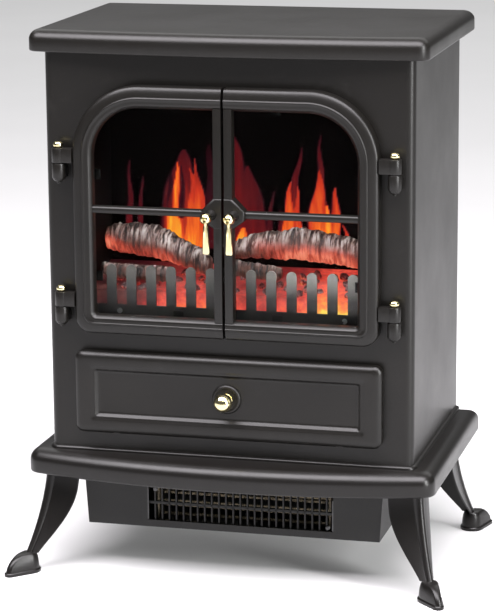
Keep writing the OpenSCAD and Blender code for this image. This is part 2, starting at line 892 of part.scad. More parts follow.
// Translucent ember moulding: a steep front face and a sloping bed that the logs lie over
module ember_bed() {
  color([0.6, 0.16, 0.08])
    rotate([90, 0, 90])
      translate([0, 0, -inner_half + fit_gap])
        linear_extrude(2 * (inner_half - fit_gap))
          polygon([
            [bed_y0, floor_z], [bed_y0 + 3, bed_shoulder_z], [bed_y1, bed_back_z],
            [bed_y1, bed_back_z - bed_t], [bed_y0 + 3 + bed_t, bed_shoulder_z - bed_t],
            [bed_y0 + bed_t, floor_z]
          ]);
}

// Round log along X, as rings of [x, y, z, radius]
module log_piece(rings) {
  sides = 14;
  last = (len(rings) - 1) * sides;
  points = [
    for (ring = rings, j = [0:sides - 1])
      [ring[0], ring[1] + ring[3] * cos(j * 360 / sides), ring[2] + ring[3] * sin(j * 360 / sides)]
  ];
  walls = [
    for (i = [0:len(rings) - 2], j = [0:sides - 1])
      let (k = (j + 1) % sides, a = i * sides, b = a + sides)
      each [[a + j, b + k, a + k], [a + j, b + j, b + k]]
  ];
  ends = [for (j = [1:sides - 2]) each [[0, j, j + 1], [last, last + j + 1, last + j]]];
  polyhedron(points, concat(walls, ends));
}

// A ring is given by x, its distance behind the fret, its height over the rail and its radius
function over_bed(x, back, up, r) = [x, fret_y + back, fret_rail_z1 + up, r];
log_end = inner_half - 3;
module log_left() {
  color([0.45, 0.3, 0.26])
    log_piece([
      over_bed(-log_end + 4, 45, 57, 12.5), over_bed(-log_end + 10, 45, 57.5, 15),
      over_bed(-log_end + 34, 42, 58, 17.5), over_bed(-log_end + 58, 40, 56, 18),
      over_bed(-60, 34, 48, 16), over_bed(-33, 29, 39, 13.5), over_bed(-28, 28, 37, 11.5)
    ]);
}
module log_right() {
  color([0.48, 0.3, 0.26])
    log_piece([
      over_bed(-9, 37, 51, 9.5), over_bed(-4, 37, 52, 11.5), over_bed(24, 40, 57, 15),
      over_bed(56, 42, 60, 17), over_bed(90, 40, 57, 17), over_bed(log_end - 14, 37, 51, 15),
      over_bed(log_end - 9, 37, 50, 12.5)
    ]);
}
module front_logs() {
  color([0.42, 0.38, 0.36]) {
    log_piece([
      over_bed(-log_end + 6, 18, 32, 6.5), over_bed(-log_end + 12, 18, 31, 8),
      over_bed(-96, 18, 29, 8.5), over_bed(-70, 18, 28.5, 8.5), over_bed(-66, 18, 28, 6.5)
    ]);
    log_piece([
      over_bed(-8, 18, 38, 7.5), over_bed(-4, 18, 38, 9.5), over_bed(22, 18.5, 36, 9),
      over_bed(42, 19, 34, 8), over_bed(46, 19, 34, 6)
    ]);
  }
}

// Fret in front of the logs: a rail, end plates and upright bars with round tops
module fret() {
  end_x = (fret_bars - 1) / 2 * fret_pitch;
  half = inner_half - fit_gap;
  bar_r = fret_bar_w / 2;
  color([0.22, 0.22, 0.21])
    difference() {
      union() {
        upright(fret_y + fret_t, fret_t) {
          translate([-half, floor_z])
            square([2 * half, fret_rail_z1 - floor_z]);
          for (i = [-(fret_bars - 1) / 2:(fret_bars - 1) / 2])
            translate([i * fret_pitch - bar_r, fret_rail_z1 - 1])
              square([fret_bar_w, fret_bar_h - bar_r + 1]);
          for (side = [0, 1])
            mirror([side, 0])
              translate([end_x + bar_r + 2, fret_rail_z1 - 1])
                square([half - end_x - bar_r - 2, fret_bar_h - 9]);
        }
        for (i = [-(fret_bars - 1) / 2:(fret_bars - 1) / 2])
          bar_y(i * fret_pitch, fret_y, fret_y + fret_t, fret_rail_z1 + fret_bar_h - bar_r, bar_r - 0.02);
      }
      for (side = [-1, 1])
        bar_y(side * fret_screw_x, fret_y - 1, fret_y + fret_t + 1, fret_rail_z1 - 6, 1.5);
    }
}

// Two pale screws that hold the fret
module fret_screws() {
  color([0.8, 0.8, 0.78])
    for (side = [-1, 1]) {
      bar_y(side * fret_screw_x, fret_y - 1.4, fret_y, fret_rail_z1 - 6, 2.6);
      bar_y(side * fret_screw_x, fret_y, fret_y + fret_t + 1, fret_rail_z1 - 6, 1.5);
    }
}

// Glass opening of the right leaf, drawn out by a margin
module pane_shape(margin) {
  polygon(leaf(
    door_gap / 2 + centre_stile - margin, pair_w / 2 - stile_w + margin,
    door_z0 + low_rail - margin, door_z1 - top_rail + margin,
    door_rt - stile_w + margin, 3 + margin
  ));
}

// Places of the glass clips of the right leaf, as x and z
clip_w = 10;
function clip_spots() = [
  [pair_w / 2 - stile_w, door_z0 + 55], [pair_w / 2 - stile_w, door_z1 - door_rt - 20],
  [door_gap / 2 + 48, door_z0 + low_rail], [door_gap / 2 + 48, door_z1 - top_rail]
];
glass_margin = 5;
clip_t = 1;
rabbet = glass_t + clip_t + 0.2;

// Right door leaf: stepped frame, glazing bar, handle boss and a rabbet for the glass
module door_leaf() {
  face = 4;
  difference() {
    union() {
      upright(door_yb, door_t - face)
        polygon(leaf(door_gap / 2, pair_w / 2, door_z0, door_z1, door_rt, door_rb));
      upright(door_yb - door_t + face, face)
        polygon(leaf(
          door_gap / 2, pair_w / 2 - face, door_z0 + face, door_z1 - face, door_rt - face, door_rb - face
        ));
    }
    difference() {
      upright(door_yb + 1, door_t + 2)
        pane_shape(0);
      upright(door_yb - rabbet, door_t - rabbet - face)
        translate([0, bar_z - bar_h / 2])
          square([pair_w / 2, bar_h]);
      upright(door_yb - rabbet, door_t - rabbet)
        polygon([
          [0, bar_z - boss_r * 0.7], [centre_stile, bar_z - boss_r * 0.7], [boss_r, bar_z - boss_r * 0.25],
          [boss_r, bar_z + boss_r * 0.2], [centre_stile, bar_z + boss_r * 0.8], [0, bar_z + boss_r * 0.8]
        ]);
    }
    upright(door_yb + 1, rabbet + 1)
      pane_shape(glass_margin + fit_gap);
    for (p = clip_spots())
      block(
        [p[0] - clip_w - 1, door_yb - clip_t - 0.2, p[1] - clip_w - 1],
        [p[0] + clip_w + 1, door_yb + 1, p[1] + clip_w + 1]
      );
    bar_y(handle_x, door_yf - 1, door_yf + 6, bar_z, 2);
  }
}
module right_door() {
  color([0.21, 0.2, 0.19])
    door_leaf();
}
module left_door() {
  color([0.21, 0.2, 0.19])
    mirror([1, 0, 0])
      door_leaf();
}

// Panes of tempered glass in the rabbets
module pane() {
  upright(door_yb - rabbet + glass_t, glass_t)
    pane_shape(glass_margin);
}
module right_glass() {
  color([0.5, 0.55, 0.55, 0.35])
    pane();
}
module left_glass() {
  color([0.5, 0.55, 0.55, 0.35])
    mirror([1, 0, 0])
      pane();
}

// Flat clips that hold the glass from behind
module clips() {
  for (p = clip_spots())
    block(
      [p[0] - clip_w / 2, door_yb - clip_t, p[1] - clip_w / 2],
      [p[0] + clip_w / 2, door_yb, p[1] + clip_w / 2]
    );
}
module right_glass_clips() {
  color([0.6, 0.6, 0.6])
    clips();
}
module left_glass_clips() {
  color([0.6, 0.6, 0.6])
    mirror([1, 0, 0])
      clips();
}

// Brass ball on a stud, slotted underneath for the drop and cross-drilled for its pivot
ball_y = door_yf - ball_out;
slot_half = 1.5;
module handle_ball() {
  difference() {
    union() {
      translate([handle_x, ball_y, bar_z])
        sphere(r = ball_r);
      bar_y(handle_x, ball_y + 2, door_yf, bar_z, 2.5);
      bar_y(handle_x, door_yf - 1.5, door_yf, bar_z, 4);
      bar_y(handle_x, door_yf, door_yf + 6, bar_z, 2);
    }
    block(
      [handle_x - slot_half, ball_y - ball_r - 1, bar_z - ball_r - 1],
      [handle_x + slot_half, ball_y + 3.4, bar_z + 2.6]
    );
  }
  bar_x(handle_x - slot_half, handle_x + slot_half, ball_y, bar_z, 0.8);
}
module right_handle_ball() {
  color([0.86, 0.78, 0.45])
    handle_ball();
}
module left_handle_ball() {
  color([0.86, 0.78, 0.45])
    mirror([1, 0, 0])
      handle_ball();
}

// Brass drop: an eye on the pivot, a tongue and a flat blade that widens downwards
module handle_drop() {
  tongue_half = slot_half - gap / 2;
  neck = ball_r + gap;
  difference() {
    union() {
      bar_x(handle_x - tongue_half, handle_x + tongue_half, ball_y, bar_z, 2.1);
      block(
        [handle_x - tongue_half, ball_y - 1.2, bar_z - neck - 1],
        [handle_x + tongue_half, ball_y + 1.2, bar_z]
      );
      upright(ball_y + drop_t / 2, drop_t)
        polygon([
          [handle_x - 2.6, bar_z - neck - 0.4], [handle_x + 2.6, bar_z - neck - 0.4],
          [handle_x + 3.4, bar_z - drop_len + 2], [handle_x + 2.4, bar_z - drop_len],
          [handle_x - 2.4, bar_z - drop_len], [handle_x - 3.4, bar_z - drop_len + 2]
        ]);
    }
    bar_x(handle_x - 4, handle_x + 4, ball_y, bar_z, 0.8 + run);
  }
}
module right_handle_drop() {
  color([0.86, 0.78, 0.45])
    handle_drop();
}
module left_handle_drop() {
  color([0.86, 0.78, 0.45])
    mirror([1, 0, 0])
      handle_drop();
}

// Lower half of each hinge, fixed to the casing, with a turned tip
module hinge_brackets() {
  color([0.22, 0.21, 0.2])
    for (side = [0, 1], z = hinge_zs)
      mirror([side, 0, 0])
        difference() {
          union() {
            translate([hinge_x, hinge_y, z - knuckle_h])
              cylinder(r = knuckle_r, h = knuckle_h);
            translate([hinge_x, hinge_y, z - knuckle_h - 3])
              cylinder(r1 = knuckle_r - 3, r2 = knuckle_r, h = 3);
            translate([hinge_x, hinge_y, z - knuckle_h - 5])
              cylinder(r = 1.8, h = 3);
            block(
              [hinge_x - knuckle_r + 0.5, hinge_y, z - knuckle_h],
              [hinge_x + knuckle_r - 0.5, body_y0, z]
            );
          }
          translate([hinge_x, hinge_y, z - knuckle_h + 2])
            cylinder(r = hinge_pin_r, h = knuckle_h);
        }
}

// Upper half of each hinge, fixed to the door's edge and turning on the pin
module hinge_arms() {
  for (z = hinge_zs)
    difference() {
      union() {
        translate([hinge_x, hinge_y, z + gap])
          cylinder(r = knuckle_r, h = knuckle_h - gap);
        block(
          [pair_w / 2, hinge_y - knuckle_r + 1, z + gap],
          [hinge_x, hinge_y + knuckle_r - 1, z + knuckle_h]
        );
      }
      translate([hinge_x, hinge_y, z - 1])
        cylinder(r = hinge_pin_r + run, h = knuckle_h + 2);
    }
}
module right_hinge_arms() {
  color([0.22, 0.21, 0.2])
    hinge_arms();
}
module left_hinge_arms() {
  color([0.22, 0.21, 0.2])
    mirror([1, 0, 0])
      hinge_arms();
}

// Brass hinge pins with flattened ball heads, pressed into the lower barrels
module hinge_pins() {
  head_h = 6;
  color([0.86, 0.78, 0.45])
    for (side = [0, 1], z = hinge_zs)
      mirror([side, 0, 0]) {
        translate([hinge_x, hinge_y, z - knuckle_h + 2])
          cylinder(r = hinge_pin_r, h = 2 * knuckle_h - 1);
        translate([hinge_x, hinge_y, z + knuckle_h + gap])
          cylinder(r1 = 3.4, r2 = 5, h = head_h / 2);
        translate([hinge_x, hinge_y, z + knuckle_h + gap + head_h / 2])
          cylinder(r1 = 5, r2 = 2, h = head_h / 2);
      }
}

// Flap with a raised border, a rounded lower edge and two notches for its hinge lugs
module flap() {
  eye_clear = 3.9;
  color([0.21, 0.2, 0.19])
    difference() {
      intersection() {
        upright(flap_yb, flap_t)
          translate([0, flap_z0])
            polygon(arch(flap_w, flap_h, flap_r, flap_r));
        union() {
          bar_x(-flap_w / 2 - 1, flap_w / 2 + 1, flap_axis_y, flap_axis_z, flap_axis_r);
          block(
            [-flap_w / 2 - 1, flap_yf - 1, flap_axis_z],
            [flap_w / 2 + 1, flap_yb + 1, flap_z0 + flap_h + 1]
          );
        }
      }
      upright(flap_yf + flap_recess, flap_recess + 1)
        translate([0, flap_z0 + flap_border])
          polygon(arch(flap_w - 2.4 * flap_border, flap_h - 2 * flap_border, 3, 3));
      for (side = [-1, 1]) {
        block(
          [side * lug_x - lug_w / 2 - 0.5, flap_axis_y - eye_clear, flap_z0 - 1],
          [side * lug_x + lug_w / 2 + 0.5, flap_yb + 1, flap_axis_z + eye_clear + 1]
        );
        bar_x(
          side * lug_x - flap_pin_len / 2, side * lug_x + flap_pin_len / 2,
          flap_axis_y, flap_axis_z, flap_pin_r
        );
      }
      bar_y(0, flap_yf - 1, flap_yb + 1, knob_z, 2);
    }
}

// Lugs on the casing that carry the flap
module flap_lugs() {
  eye_r = 3.2;
  color([0.25, 0.25, 0.24])
    for (side = [-1, 1])
      difference() {
        union() {
          bar_x(side * lug_x - lug_w / 2, side * lug_x + lug_w / 2, flap_axis_y, flap_axis_z, eye_r);
          block(
            [side * lug_x - lug_w / 2, flap_axis_y, flap_axis_z - eye_r + 0.4],
            [side * lug_x + lug_w / 2, body_y0, flap_axis_z + eye_r - 0.4]
          );
        }
        bar_x(
          side * lug_x - lug_w / 2 - 1, side * lug_x + lug_w / 2 + 1,
          flap_axis_y, flap_axis_z, flap_pin_r + run
        );
      }
}

// Steel pins fixed in the flap that turn in the lugs
module flap_pins() {
  color([0.7, 0.7, 0.7])
    for (side = [-1, 1])
      bar_x(
        side * lug_x - flap_pin_len / 2, side * lug_x + flap_pin_len / 2,
        flap_axis_y, flap_axis_z, flap_pin_r
      );
}

// Round plate under the flap's knob
rosette_t = 3;
rosette_y = flap_yf + flap_recess;
module flap_rosette() {
  color([0.19, 0.18, 0.17])
    difference() {
      union() {
        bar_y(0, rosette_y - rosette_t + 1, rosette_y, knob_z, rosette_r);
        bar_y(0, rosette_y - rosette_t, rosette_y, knob_z, rosette_r - 2.5);
      }
      bar_y(0, rosette_y - rosette_t - 1, rosette_y + 1, knob_z, 2);
    }
}

// Brass ball knob on a neck, held by its own stud
module flap_knob() {
  y = rosette_y - rosette_t;
  neck = 5;
  color([0.86, 0.78, 0.45]) {
    translate([0, y - neck - knob_r + 2, knob_z])
      sphere(r = knob_r);
    bar_y(0, y - neck - 2, y, knob_z, 4);
    bar_y(0, y - 1.2, y, knob_z, 6.5);
    bar_y(0, y, flap_yb, knob_z, 2);
  }
}

// Magnets behind the casing's front that hold the doors and the flap shut
module catch_magnets() {
  t = 6;
  color([0.28, 0.26, 0.26]) {
    for (x = [-17, 17])
      block([x - 9, inner_y0, liner_z1 + 1], [x + 9, inner_y0 + t, liner_z1 + 10]);
    for (x = [-bay_w / 2 - 6, bay_w / 2 + 6])
      block([x - 4, inner_y0, bay_z1 - 24], [x + 4, inner_y0 + t, bay_z1 - 6]);
  }
}

// Tray behind the flap, whose back is the control panel
module control_bay() {
  y0 = inner_y0 + 0.2;
  color([0.12, 0.12, 0.12])
    difference() {
      block([-bay_w / 2, y0, bay_z0], [bay_w / 2, bay_y1, bay_z1]);
      block(
        [-bay_w / 2 + bay_wall, y0 - 1, bay_z0 + bay_wall],
        [bay_w / 2 - bay_wall, panel_y, bay_z1 - bay_wall]
      );
      for (x = rocker_x)
        block(
          [x - rocker_w / 2 - 2, panel_y - 1, bay_mid_z - rocker_h / 2 - 2],
          [x + rocker_w / 2 + 2, bay_y1 + 1, bay_mid_z + rocker_h / 2 + 2]
        );
      for (x = dial_x)
        bar_y(x, panel_y - 1, bay_y1 + 1, bay_mid_z, dial_shaft_r + 0.5);
    }
}

// Switch housings and the two rotary controls behind the panel
rocker_axis_y = panel_y + 1;
module control_bodies() {
  housing_d = 18;
  back_y = rocker_axis_y + 9;
  color([0.16, 0.16, 0.17]) {
    for (x = rocker_x)
      difference() {
        block(
          [x - rocker_w / 2 - 1.8, panel_y - 0.5, bay_mid_z - rocker_h / 2 - 1.8],
          [x + rocker_w / 2 + 1.8, bay_y1 + housing_d, bay_mid_z + rocker_h / 2 + 1.8]
        );
        block(
          [x - rocker_w / 2 - gap, panel_y - 2, bay_mid_z - rocker_h / 2 - gap],
          [x + rocker_w / 2 + gap, back_y, bay_mid_z + rocker_h / 2 + gap]
        );
        bar_x(x - rocker_w / 2 - 1.6, x + rocker_w / 2 + 1.6, rocker_axis_y, bay_mid_z, rocker_pin_r + run);
      }
    for (x = dial_x)
      difference() {
        bar_y(x, bay_y1, bay_y1 + 16, bay_mid_z, 13);
        bar_y(x, bay_y1 - 1, bay_y1 + 9, bay_mid_z, dial_shaft_r + run);
      }
  }
}

// Rocker with two faces, tipped to its off position
module rocker(x) {
  half = rocker_h / 2 - 0.6;
  translate([x, rocker_axis_y, bay_mid_z])
    rotate([-rocker_tilt, 0, 0]) {
      rotate([90, 0, 90])
        translate([0, 0, -rocker_w / 2])
          linear_extrude(rocker_w)
            polygon([
              [-4.6, -half], [-2.8, 0], [-4.6, half], [2, half - 1.2], [5, 0], [2, -half + 1.2]
            ]);
      bar_x(-rocker_w / 2 - 1.2, rocker_w / 2 + 1.2, 0, 0, rocker_pin_r);
    }
}
module switch_flame() {
  color([0.7, 0.1, 0.08])
    rocker(rocker_x[0]);
}
module switch_low() {
  color([0.12, 0.12, 0.12])
    rocker(rocker_x[1]);
}
module switch_high() {
  color([0.12, 0.12, 0.12])
    rocker(rocker_x[2]);
}

// Control dial with a grip bar and its own shaft
module dial(x) {
  skirt = 3;
  grip_h = 11;
  translate([x, 0, 0]) {
    bar_y(0, panel_y - gap - skirt, panel_y - gap, bay_mid_z, dial_r);
    intersection() {
      bar_y(0, panel_y - gap - grip_h, panel_y - gap, bay_mid_z, dial_r - 1.5);
      block([-2.6, panel_y - gap - grip_h - 1, 0], [2.6, panel_y, overall_h]);
    }
    bar_y(0, panel_y - gap - 1, bay_y1 + 8, bay_mid_z, dial_shaft_r);
  }
}
module brightness_dial() {
  color([0.14, 0.14, 0.14])
    dial(dial_x[0]);
}
module thermostat_dial() {
  color([0.14, 0.14, 0.14])
    dial(dial_x[1]);
}

// Terminal block on the casing's floor
module terminal_block() {
  x0 = gland_x - 90;
  y0 = body_y1 - 76;
  color([0.88, 0.87, 0.82])
    difference() {
      block([x0, y0, body_z0 + sheet], [x0 + 46, y0 + 18, body_z0 + sheet + 16]);
      for (i = [0:3])
        translate([x0 + 6 + i * 11.3, y0 + 9, body_z0 + sheet + 8])
          cylinder(r = 2, h = 10);
    }
}

// Cable gland through the rear cover, with a nut inside
module cable_gland() {
  y = body_y1 + rear_t;
  color([0.1, 0.1, 0.1])
    difference() {
      union() {
        bar_y(gland_x, body_y1 - 7, y + 6.5, gland_z, gland_bore_r + 2.9);
        bar_y(gland_x, y, y + 4, gland_z, gland_bore_r + 6);
        bar_y(gland_x, body_y1 - 5, body_y1, gland_z, gland_bore_r + 6);
      }
      bar_y(gland_x, body_y1 - 8, y + 8, gland_z, gland_bore_r);
    }
}

// Screws of the rear cover and of the legs
module case_screws() {
  color([0.15, 0.15, 0.15]) {
    for (p = rear_screw_spots()) {
      bar_y(p[0], body_y1 + rear_t, body_y1 + rear_t + 2, p[1], head_r);
      bar_y(p[0], body_y1 - sheet - 4, body_y1 + rear_t, p[1], screw_r);
    }
    for (sx = [-1, 1], sy = [-1, 1])
      translate([sx * (leg_top[0] - leg_screw_in), sy * (leg_top[1] - leg_screw_in), 0]) {
        translate([0, 0, leg_h - leg_wall - 2])
          cylinder(r = head_r, h = 2);
        translate([0, 0, leg_h - leg_wall])
          cylinder(r = screw_r, h = leg_wall + pan_t + 3);
      }
  }
}

top_plate();
casing();
rear_cover();
base_plinth();
base_pan();
front_legs();
rear_legs();
feet();
heater_housing();
outlet_grille();
heating_element();
thermal_cutout();
fan_rotor();
fan_motor();
fan_scroll();
shaft_bearings();
firebox_liner();
flame_screen();
flame_template();
flame_spindle();
spindle_motor();
lamp_holders();
lamp_bulbs();
ember_bed();
log_left();
log_right();
front_logs();
fret();
fret_screws();
left_door();
right_door();
left_glass();
right_glass();
left_glass_clips();
right_glass_clips();
left_handle_ball();
right_handle_ball();
left_handle_drop();
right_handle_drop();
hinge_brackets();
hinge_pins();
left_hinge_arms();
right_hinge_arms();
flap();
flap_rosette();
flap_knob();
flap_pins();
flap_lugs();
catch_magnets();
control_bay();
control_bodies();
switch_flame();
switch_low();
switch_high();
brightness_dial();
thermostat_dial();
terminal_block();
cable_gland();
case_screws();
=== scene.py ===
"""Looks of a free-standing electric stove: enamelled casing, glazed doors, glowing logs and brass fittings."""

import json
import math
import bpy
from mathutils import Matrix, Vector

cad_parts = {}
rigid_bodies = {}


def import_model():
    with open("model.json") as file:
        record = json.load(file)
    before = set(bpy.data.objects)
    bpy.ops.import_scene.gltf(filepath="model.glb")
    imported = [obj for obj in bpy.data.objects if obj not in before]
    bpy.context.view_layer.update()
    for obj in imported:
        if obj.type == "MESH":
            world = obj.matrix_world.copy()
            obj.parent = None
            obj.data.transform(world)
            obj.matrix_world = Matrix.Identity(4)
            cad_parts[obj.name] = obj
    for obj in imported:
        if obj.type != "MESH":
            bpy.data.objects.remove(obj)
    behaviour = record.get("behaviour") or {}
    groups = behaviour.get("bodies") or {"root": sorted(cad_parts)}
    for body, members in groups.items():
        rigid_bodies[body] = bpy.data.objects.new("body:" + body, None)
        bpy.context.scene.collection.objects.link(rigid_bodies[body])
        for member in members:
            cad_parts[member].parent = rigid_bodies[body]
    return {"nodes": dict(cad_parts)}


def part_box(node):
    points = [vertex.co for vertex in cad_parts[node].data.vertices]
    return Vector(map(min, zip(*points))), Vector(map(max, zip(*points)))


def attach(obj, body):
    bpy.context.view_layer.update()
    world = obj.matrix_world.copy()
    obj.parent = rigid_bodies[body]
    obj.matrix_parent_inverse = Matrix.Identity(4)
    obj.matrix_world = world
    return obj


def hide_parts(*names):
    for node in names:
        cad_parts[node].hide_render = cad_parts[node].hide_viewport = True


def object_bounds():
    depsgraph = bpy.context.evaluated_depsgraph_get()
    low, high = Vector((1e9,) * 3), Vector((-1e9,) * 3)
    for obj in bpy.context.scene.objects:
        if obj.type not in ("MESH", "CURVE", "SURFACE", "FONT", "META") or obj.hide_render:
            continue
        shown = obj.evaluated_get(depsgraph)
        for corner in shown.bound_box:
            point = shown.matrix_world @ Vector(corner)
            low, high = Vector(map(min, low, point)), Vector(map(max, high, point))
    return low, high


bl_info = {
    "name": "Electric stove",
    "version": (1, 0, 0),
    "blender": (4, 5, 0),
    "location": "View3D > Sidebar > Stove",
    "description": "Makes the enamelled casing, doors, log fire, fittings and stage of an electric stove",
    "category": "Object",
}

import bmesh
import bpy
import numpy as np
from mathutils import Matrix, Vector, noise
from mathutils.geometry import tessellate_polygon

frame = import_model()
CAD_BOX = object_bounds()
MM = 0.001
STOVE = "stove"


# ---------------------------------------------------------------- sizes and colours


def length(name, about, default):
    """A size in metres that the sidebar shows."""
    return bpy.props.FloatProperty(
        name=name, description=about, default=default, min=0.0, unit="LENGTH", precision=4
    )


def colour(name, about, default):
    """A linear colour that the sidebar shows."""
    return bpy.props.FloatVectorProperty(
        name=name, description=about, default=default, subtype="COLOR", size=3, min=0.0, max=1.0
    )


class StoveSizes(bpy.types.PropertyGroup):
    """Sizes of the mouldings and the fire."""

    lid_bow: length("Lid bow", "Bow of the lid's front edge at its middle", 0.013)
    lid_corner: length("Lid corner", "Radius of the lid's front corners", 0.012)
    lid_round: length("Lid edge", "Depth of the rounding along the lid's top edge", 0.010)
    base_bow: length("Base bow", "Bow of the base's front edge at its middle", 0.028)
    base_corner: length("Base corner", "Radius of the base's front corners", 0.016)
    base_round: length("Base edge", "Depth of the rounding along the base's top edge", 0.012)
    casing_corner: length("Casing corner", "Outer radius of the casing's front corners", 0.008)
    sheet: length("Sheet", "Thickness of the casing's steel sheet", 0.0015)
    door_top: length("Door top radius", "Radius of the doors' top outer corners", 0.068)
    door_low: length("Door low radius", "Radius of the doors' bottom outer corners", 0.016)
    flap_border: length("Flap border", "Width of the border round the flap's recess", 0.019)
    bark_depth: length("Bark depth", "Depth of the furrows across the logs", 0.0016)
    coal: length("Coal size", "Size of the loose coals on the ember bed", 0.011)


class StoveColours(bpy.types.PropertyGroup):
    """Colours of the finishes."""

    enamel: colour("Enamel", "Satin stove enamel on the casing, lid and doors",
        (0.0044, 0.0038, 0.0030))
    moulding: colour("Moulding", "Enamel on the base, the legs and the feet",
        (0.0044, 0.0038, 0.0033))
    heater: colour("Heater box", "Semi-matt finish of the heater box", (0.0040, 0.0040, 0.0035))
    brass: colour("Brass", "Polished pale brass of the handles and the knob", (0.74, 0.66, 0.38))
    ash: colour("Ash", "Pale ash on the tops of the logs", (0.40, 0.36, 0.34))
    char: colour("Char", "Dark char in the furrows of the bark", (0.016, 0.013, 0.012))
    glow: colour("Glow", "Red glow of the embers and the undersides of the logs",
        (0.80, 0.085, 0.035))
    gold: colour("Gold", "Hottest colour of the fire", (1.0, 0.42, 0.03))


# ---------------------------------------------------------------- node helpers


def link_in(tree, value, socket):
    """Links a socket, or sets a plain value."""
    if isinstance(value, bpy.types.NodeSocket):
        tree.links.new(value, socket)
    elif value is not None:
        socket.default_value = value


def node_of(tree, kind, settings=None, **inputs):
    """A new node with its settings and inputs, whose names hold _ for a blank."""
    made = tree.nodes.new(kind)
    for key, value in (settings or {}).items():
        setattr(made, key, value)
    for key, value in inputs.items():
        place = int(key[1:]) if key[0] == "n" and key[1:].isdigit() else key.replace("_", " ")
        link_in(tree, value, made.inputs[place])
    return made


def math_of(tree, operation, first, second=None, third=None, clamp=False):
    """Result of a Math node."""
    made = node_of(tree, "ShaderNodeMath", {"operation": operation, "use_clamp": clamp})
    for place, value in enumerate((first, second, third)):
        if value is not None:
            link_in(tree, value, made.inputs[place])
    return made.outputs[0]


def mix_of(tree, factor, first, second, blend="MIX"):
    """Colour between two colours."""
    made = node_of(tree, "ShaderNodeMix", {"data_type": "RGBA", "blend_type": blend})
    link_in(tree, factor, made.inputs["Factor"])
    for socket, value in ((made.inputs[6], first), (made.inputs[7], second)):
        link_in(tree, value if isinstance(value, bpy.types.NodeSocket) else (*value, 1.0), socket)
    return made.outputs[2]


def ramp_of(tree, factor, stops):
    """Colour ramp over stops of (place, colour)."""
    made = node_of(tree, "ShaderNodeValToRGB", None, Fac=factor)
    band = made.color_ramp
    band.elements.remove(band.elements[1])
    band.elements[0].position = stops[0][0]
    band.elements[0].color = (*stops[0][1], 1.0)
    for place, tint in stops[1:]:
        band.elements.new(place).color = (*tint, 1.0)
    return made.outputs["Color"]


def spread_of(tree, value, low, high, to_low=0.0, to_high=1.0):
    """Value moved from one range to another, kept inside it."""
    return node_of(
        tree, "ShaderNodeMapRange", None,
        Value=value, From_Min=low, From_Max=high, To_Min=to_low, To_Max=to_high,
    ).outputs["Result"]


def new_group(name, inputs, outputs):
    """A shader node group with named sockets, as its tree, its input node and its output node."""
    tree = bpy.data.node_groups.new(name, "ShaderNodeTree")
    for label, kind, default in inputs:
        socket = tree.interface.new_socket(name=label, in_out="INPUT", socket_type=kind)
        if default is not None:
            socket.default_value = default
    for label, kind in outputs:
        tree.interface.new_socket(name=label, in_out="OUTPUT", socket_type=kind)
    return tree, tree.nodes.new("NodeGroupInput"), tree.nodes.new("NodeGroupOutput")


def enamel_group():
    """Fine orange peel, a cloudy tone and faint dust of a sprayed or enamelled surface."""
    tree, given, made = new_group(
        "Enamel surface",
        [
            ("Vector", "NodeSocketVector", None),
            ("Colour", "NodeSocketColor", (0.02, 0.02, 0.02, 1)),
            ("Peel size", "NodeSocketFloat", 900.0),
            ("Roughness", "NodeSocketFloat", 0.38),
            ("Dust", "NodeSocketFloat", 0.1),
            ("Wear", "NodeSocketFloat", 0.1),
        ],
        [("Colour", "NodeSocketColor"), ("Roughness", "NodeSocketFloat"),
            ("Height", "NodeSocketFloat")],
    )
    place = given.outputs["Vector"]
    peel = node_of(tree, "ShaderNodeTexNoise", None, Vector=place, Scale=given.outputs["Peel size"],
        Detail=2.0)
    cloud = node_of(tree, "ShaderNodeTexNoise", None, Vector=place, Scale=11.0, Detail=4.0,
        Roughness=0.6)
    speck = node_of(tree, "ShaderNodeTexNoise", None, Vector=place, Scale=2600.0, Detail=1.0)
    faces = node_of(tree, "ShaderNodeNewGeometry")
    up = node_of(tree, "ShaderNodeSeparateXYZ", None, Vector=faces.outputs["Normal"]).outputs["Z"]
    settled = math_of(tree, "MULTIPLY", spread_of(tree, up, 0.6, 1.0), given.outputs["Dust"])
    settled = math_of(tree, "MULTIPLY", settled,
        spread_of(tree, cloud.outputs[0], 0.35, 0.7, 0.5, 1.0))
    rub = node_of(tree, "ShaderNodeTexNoise", None, Vector=place, Scale=34.0, Detail=6.0,
        Roughness=0.7)
    edge = math_of(tree, "MULTIPLY", spread_of(tree, rub.outputs[0], 0.62, 0.78),
        given.outputs["Wear"], clamp=True)
    tone = mix_of(tree, spread_of(tree, cloud.outputs[0], 0.3, 0.7, 0.0, 0.35),
        given.outputs["Colour"], (0.0, 0.0, 0.0))
    tone = mix_of(tree, spread_of(tree, speck.outputs[0], 0.62, 0.75, 0.0, 0.10), tone,
        (0.16, 0.15, 0.15))
    tone = mix_of(tree, settled, tone, (0.16, 0.15, 0.145))
    tone = mix_of(tree, edge, tone, (0.05, 0.048, 0.046))
    rough = spread_of(tree, cloud.outputs[0], 0.3, 0.7, -0.035, 0.035)
    rough = math_of(tree, "ADD", rough, given.outputs["Roughness"])
    rough = math_of(tree, "ADD", rough, math_of(tree, "MULTIPLY", settled, 0.6), clamp=True)
    link_in(tree, tone, made.inputs["Colour"])
    link_in(tree, rough, made.inputs["Roughness"])
    link_in(tree, peel.outputs[0], made.inputs["Height"])
    return tree


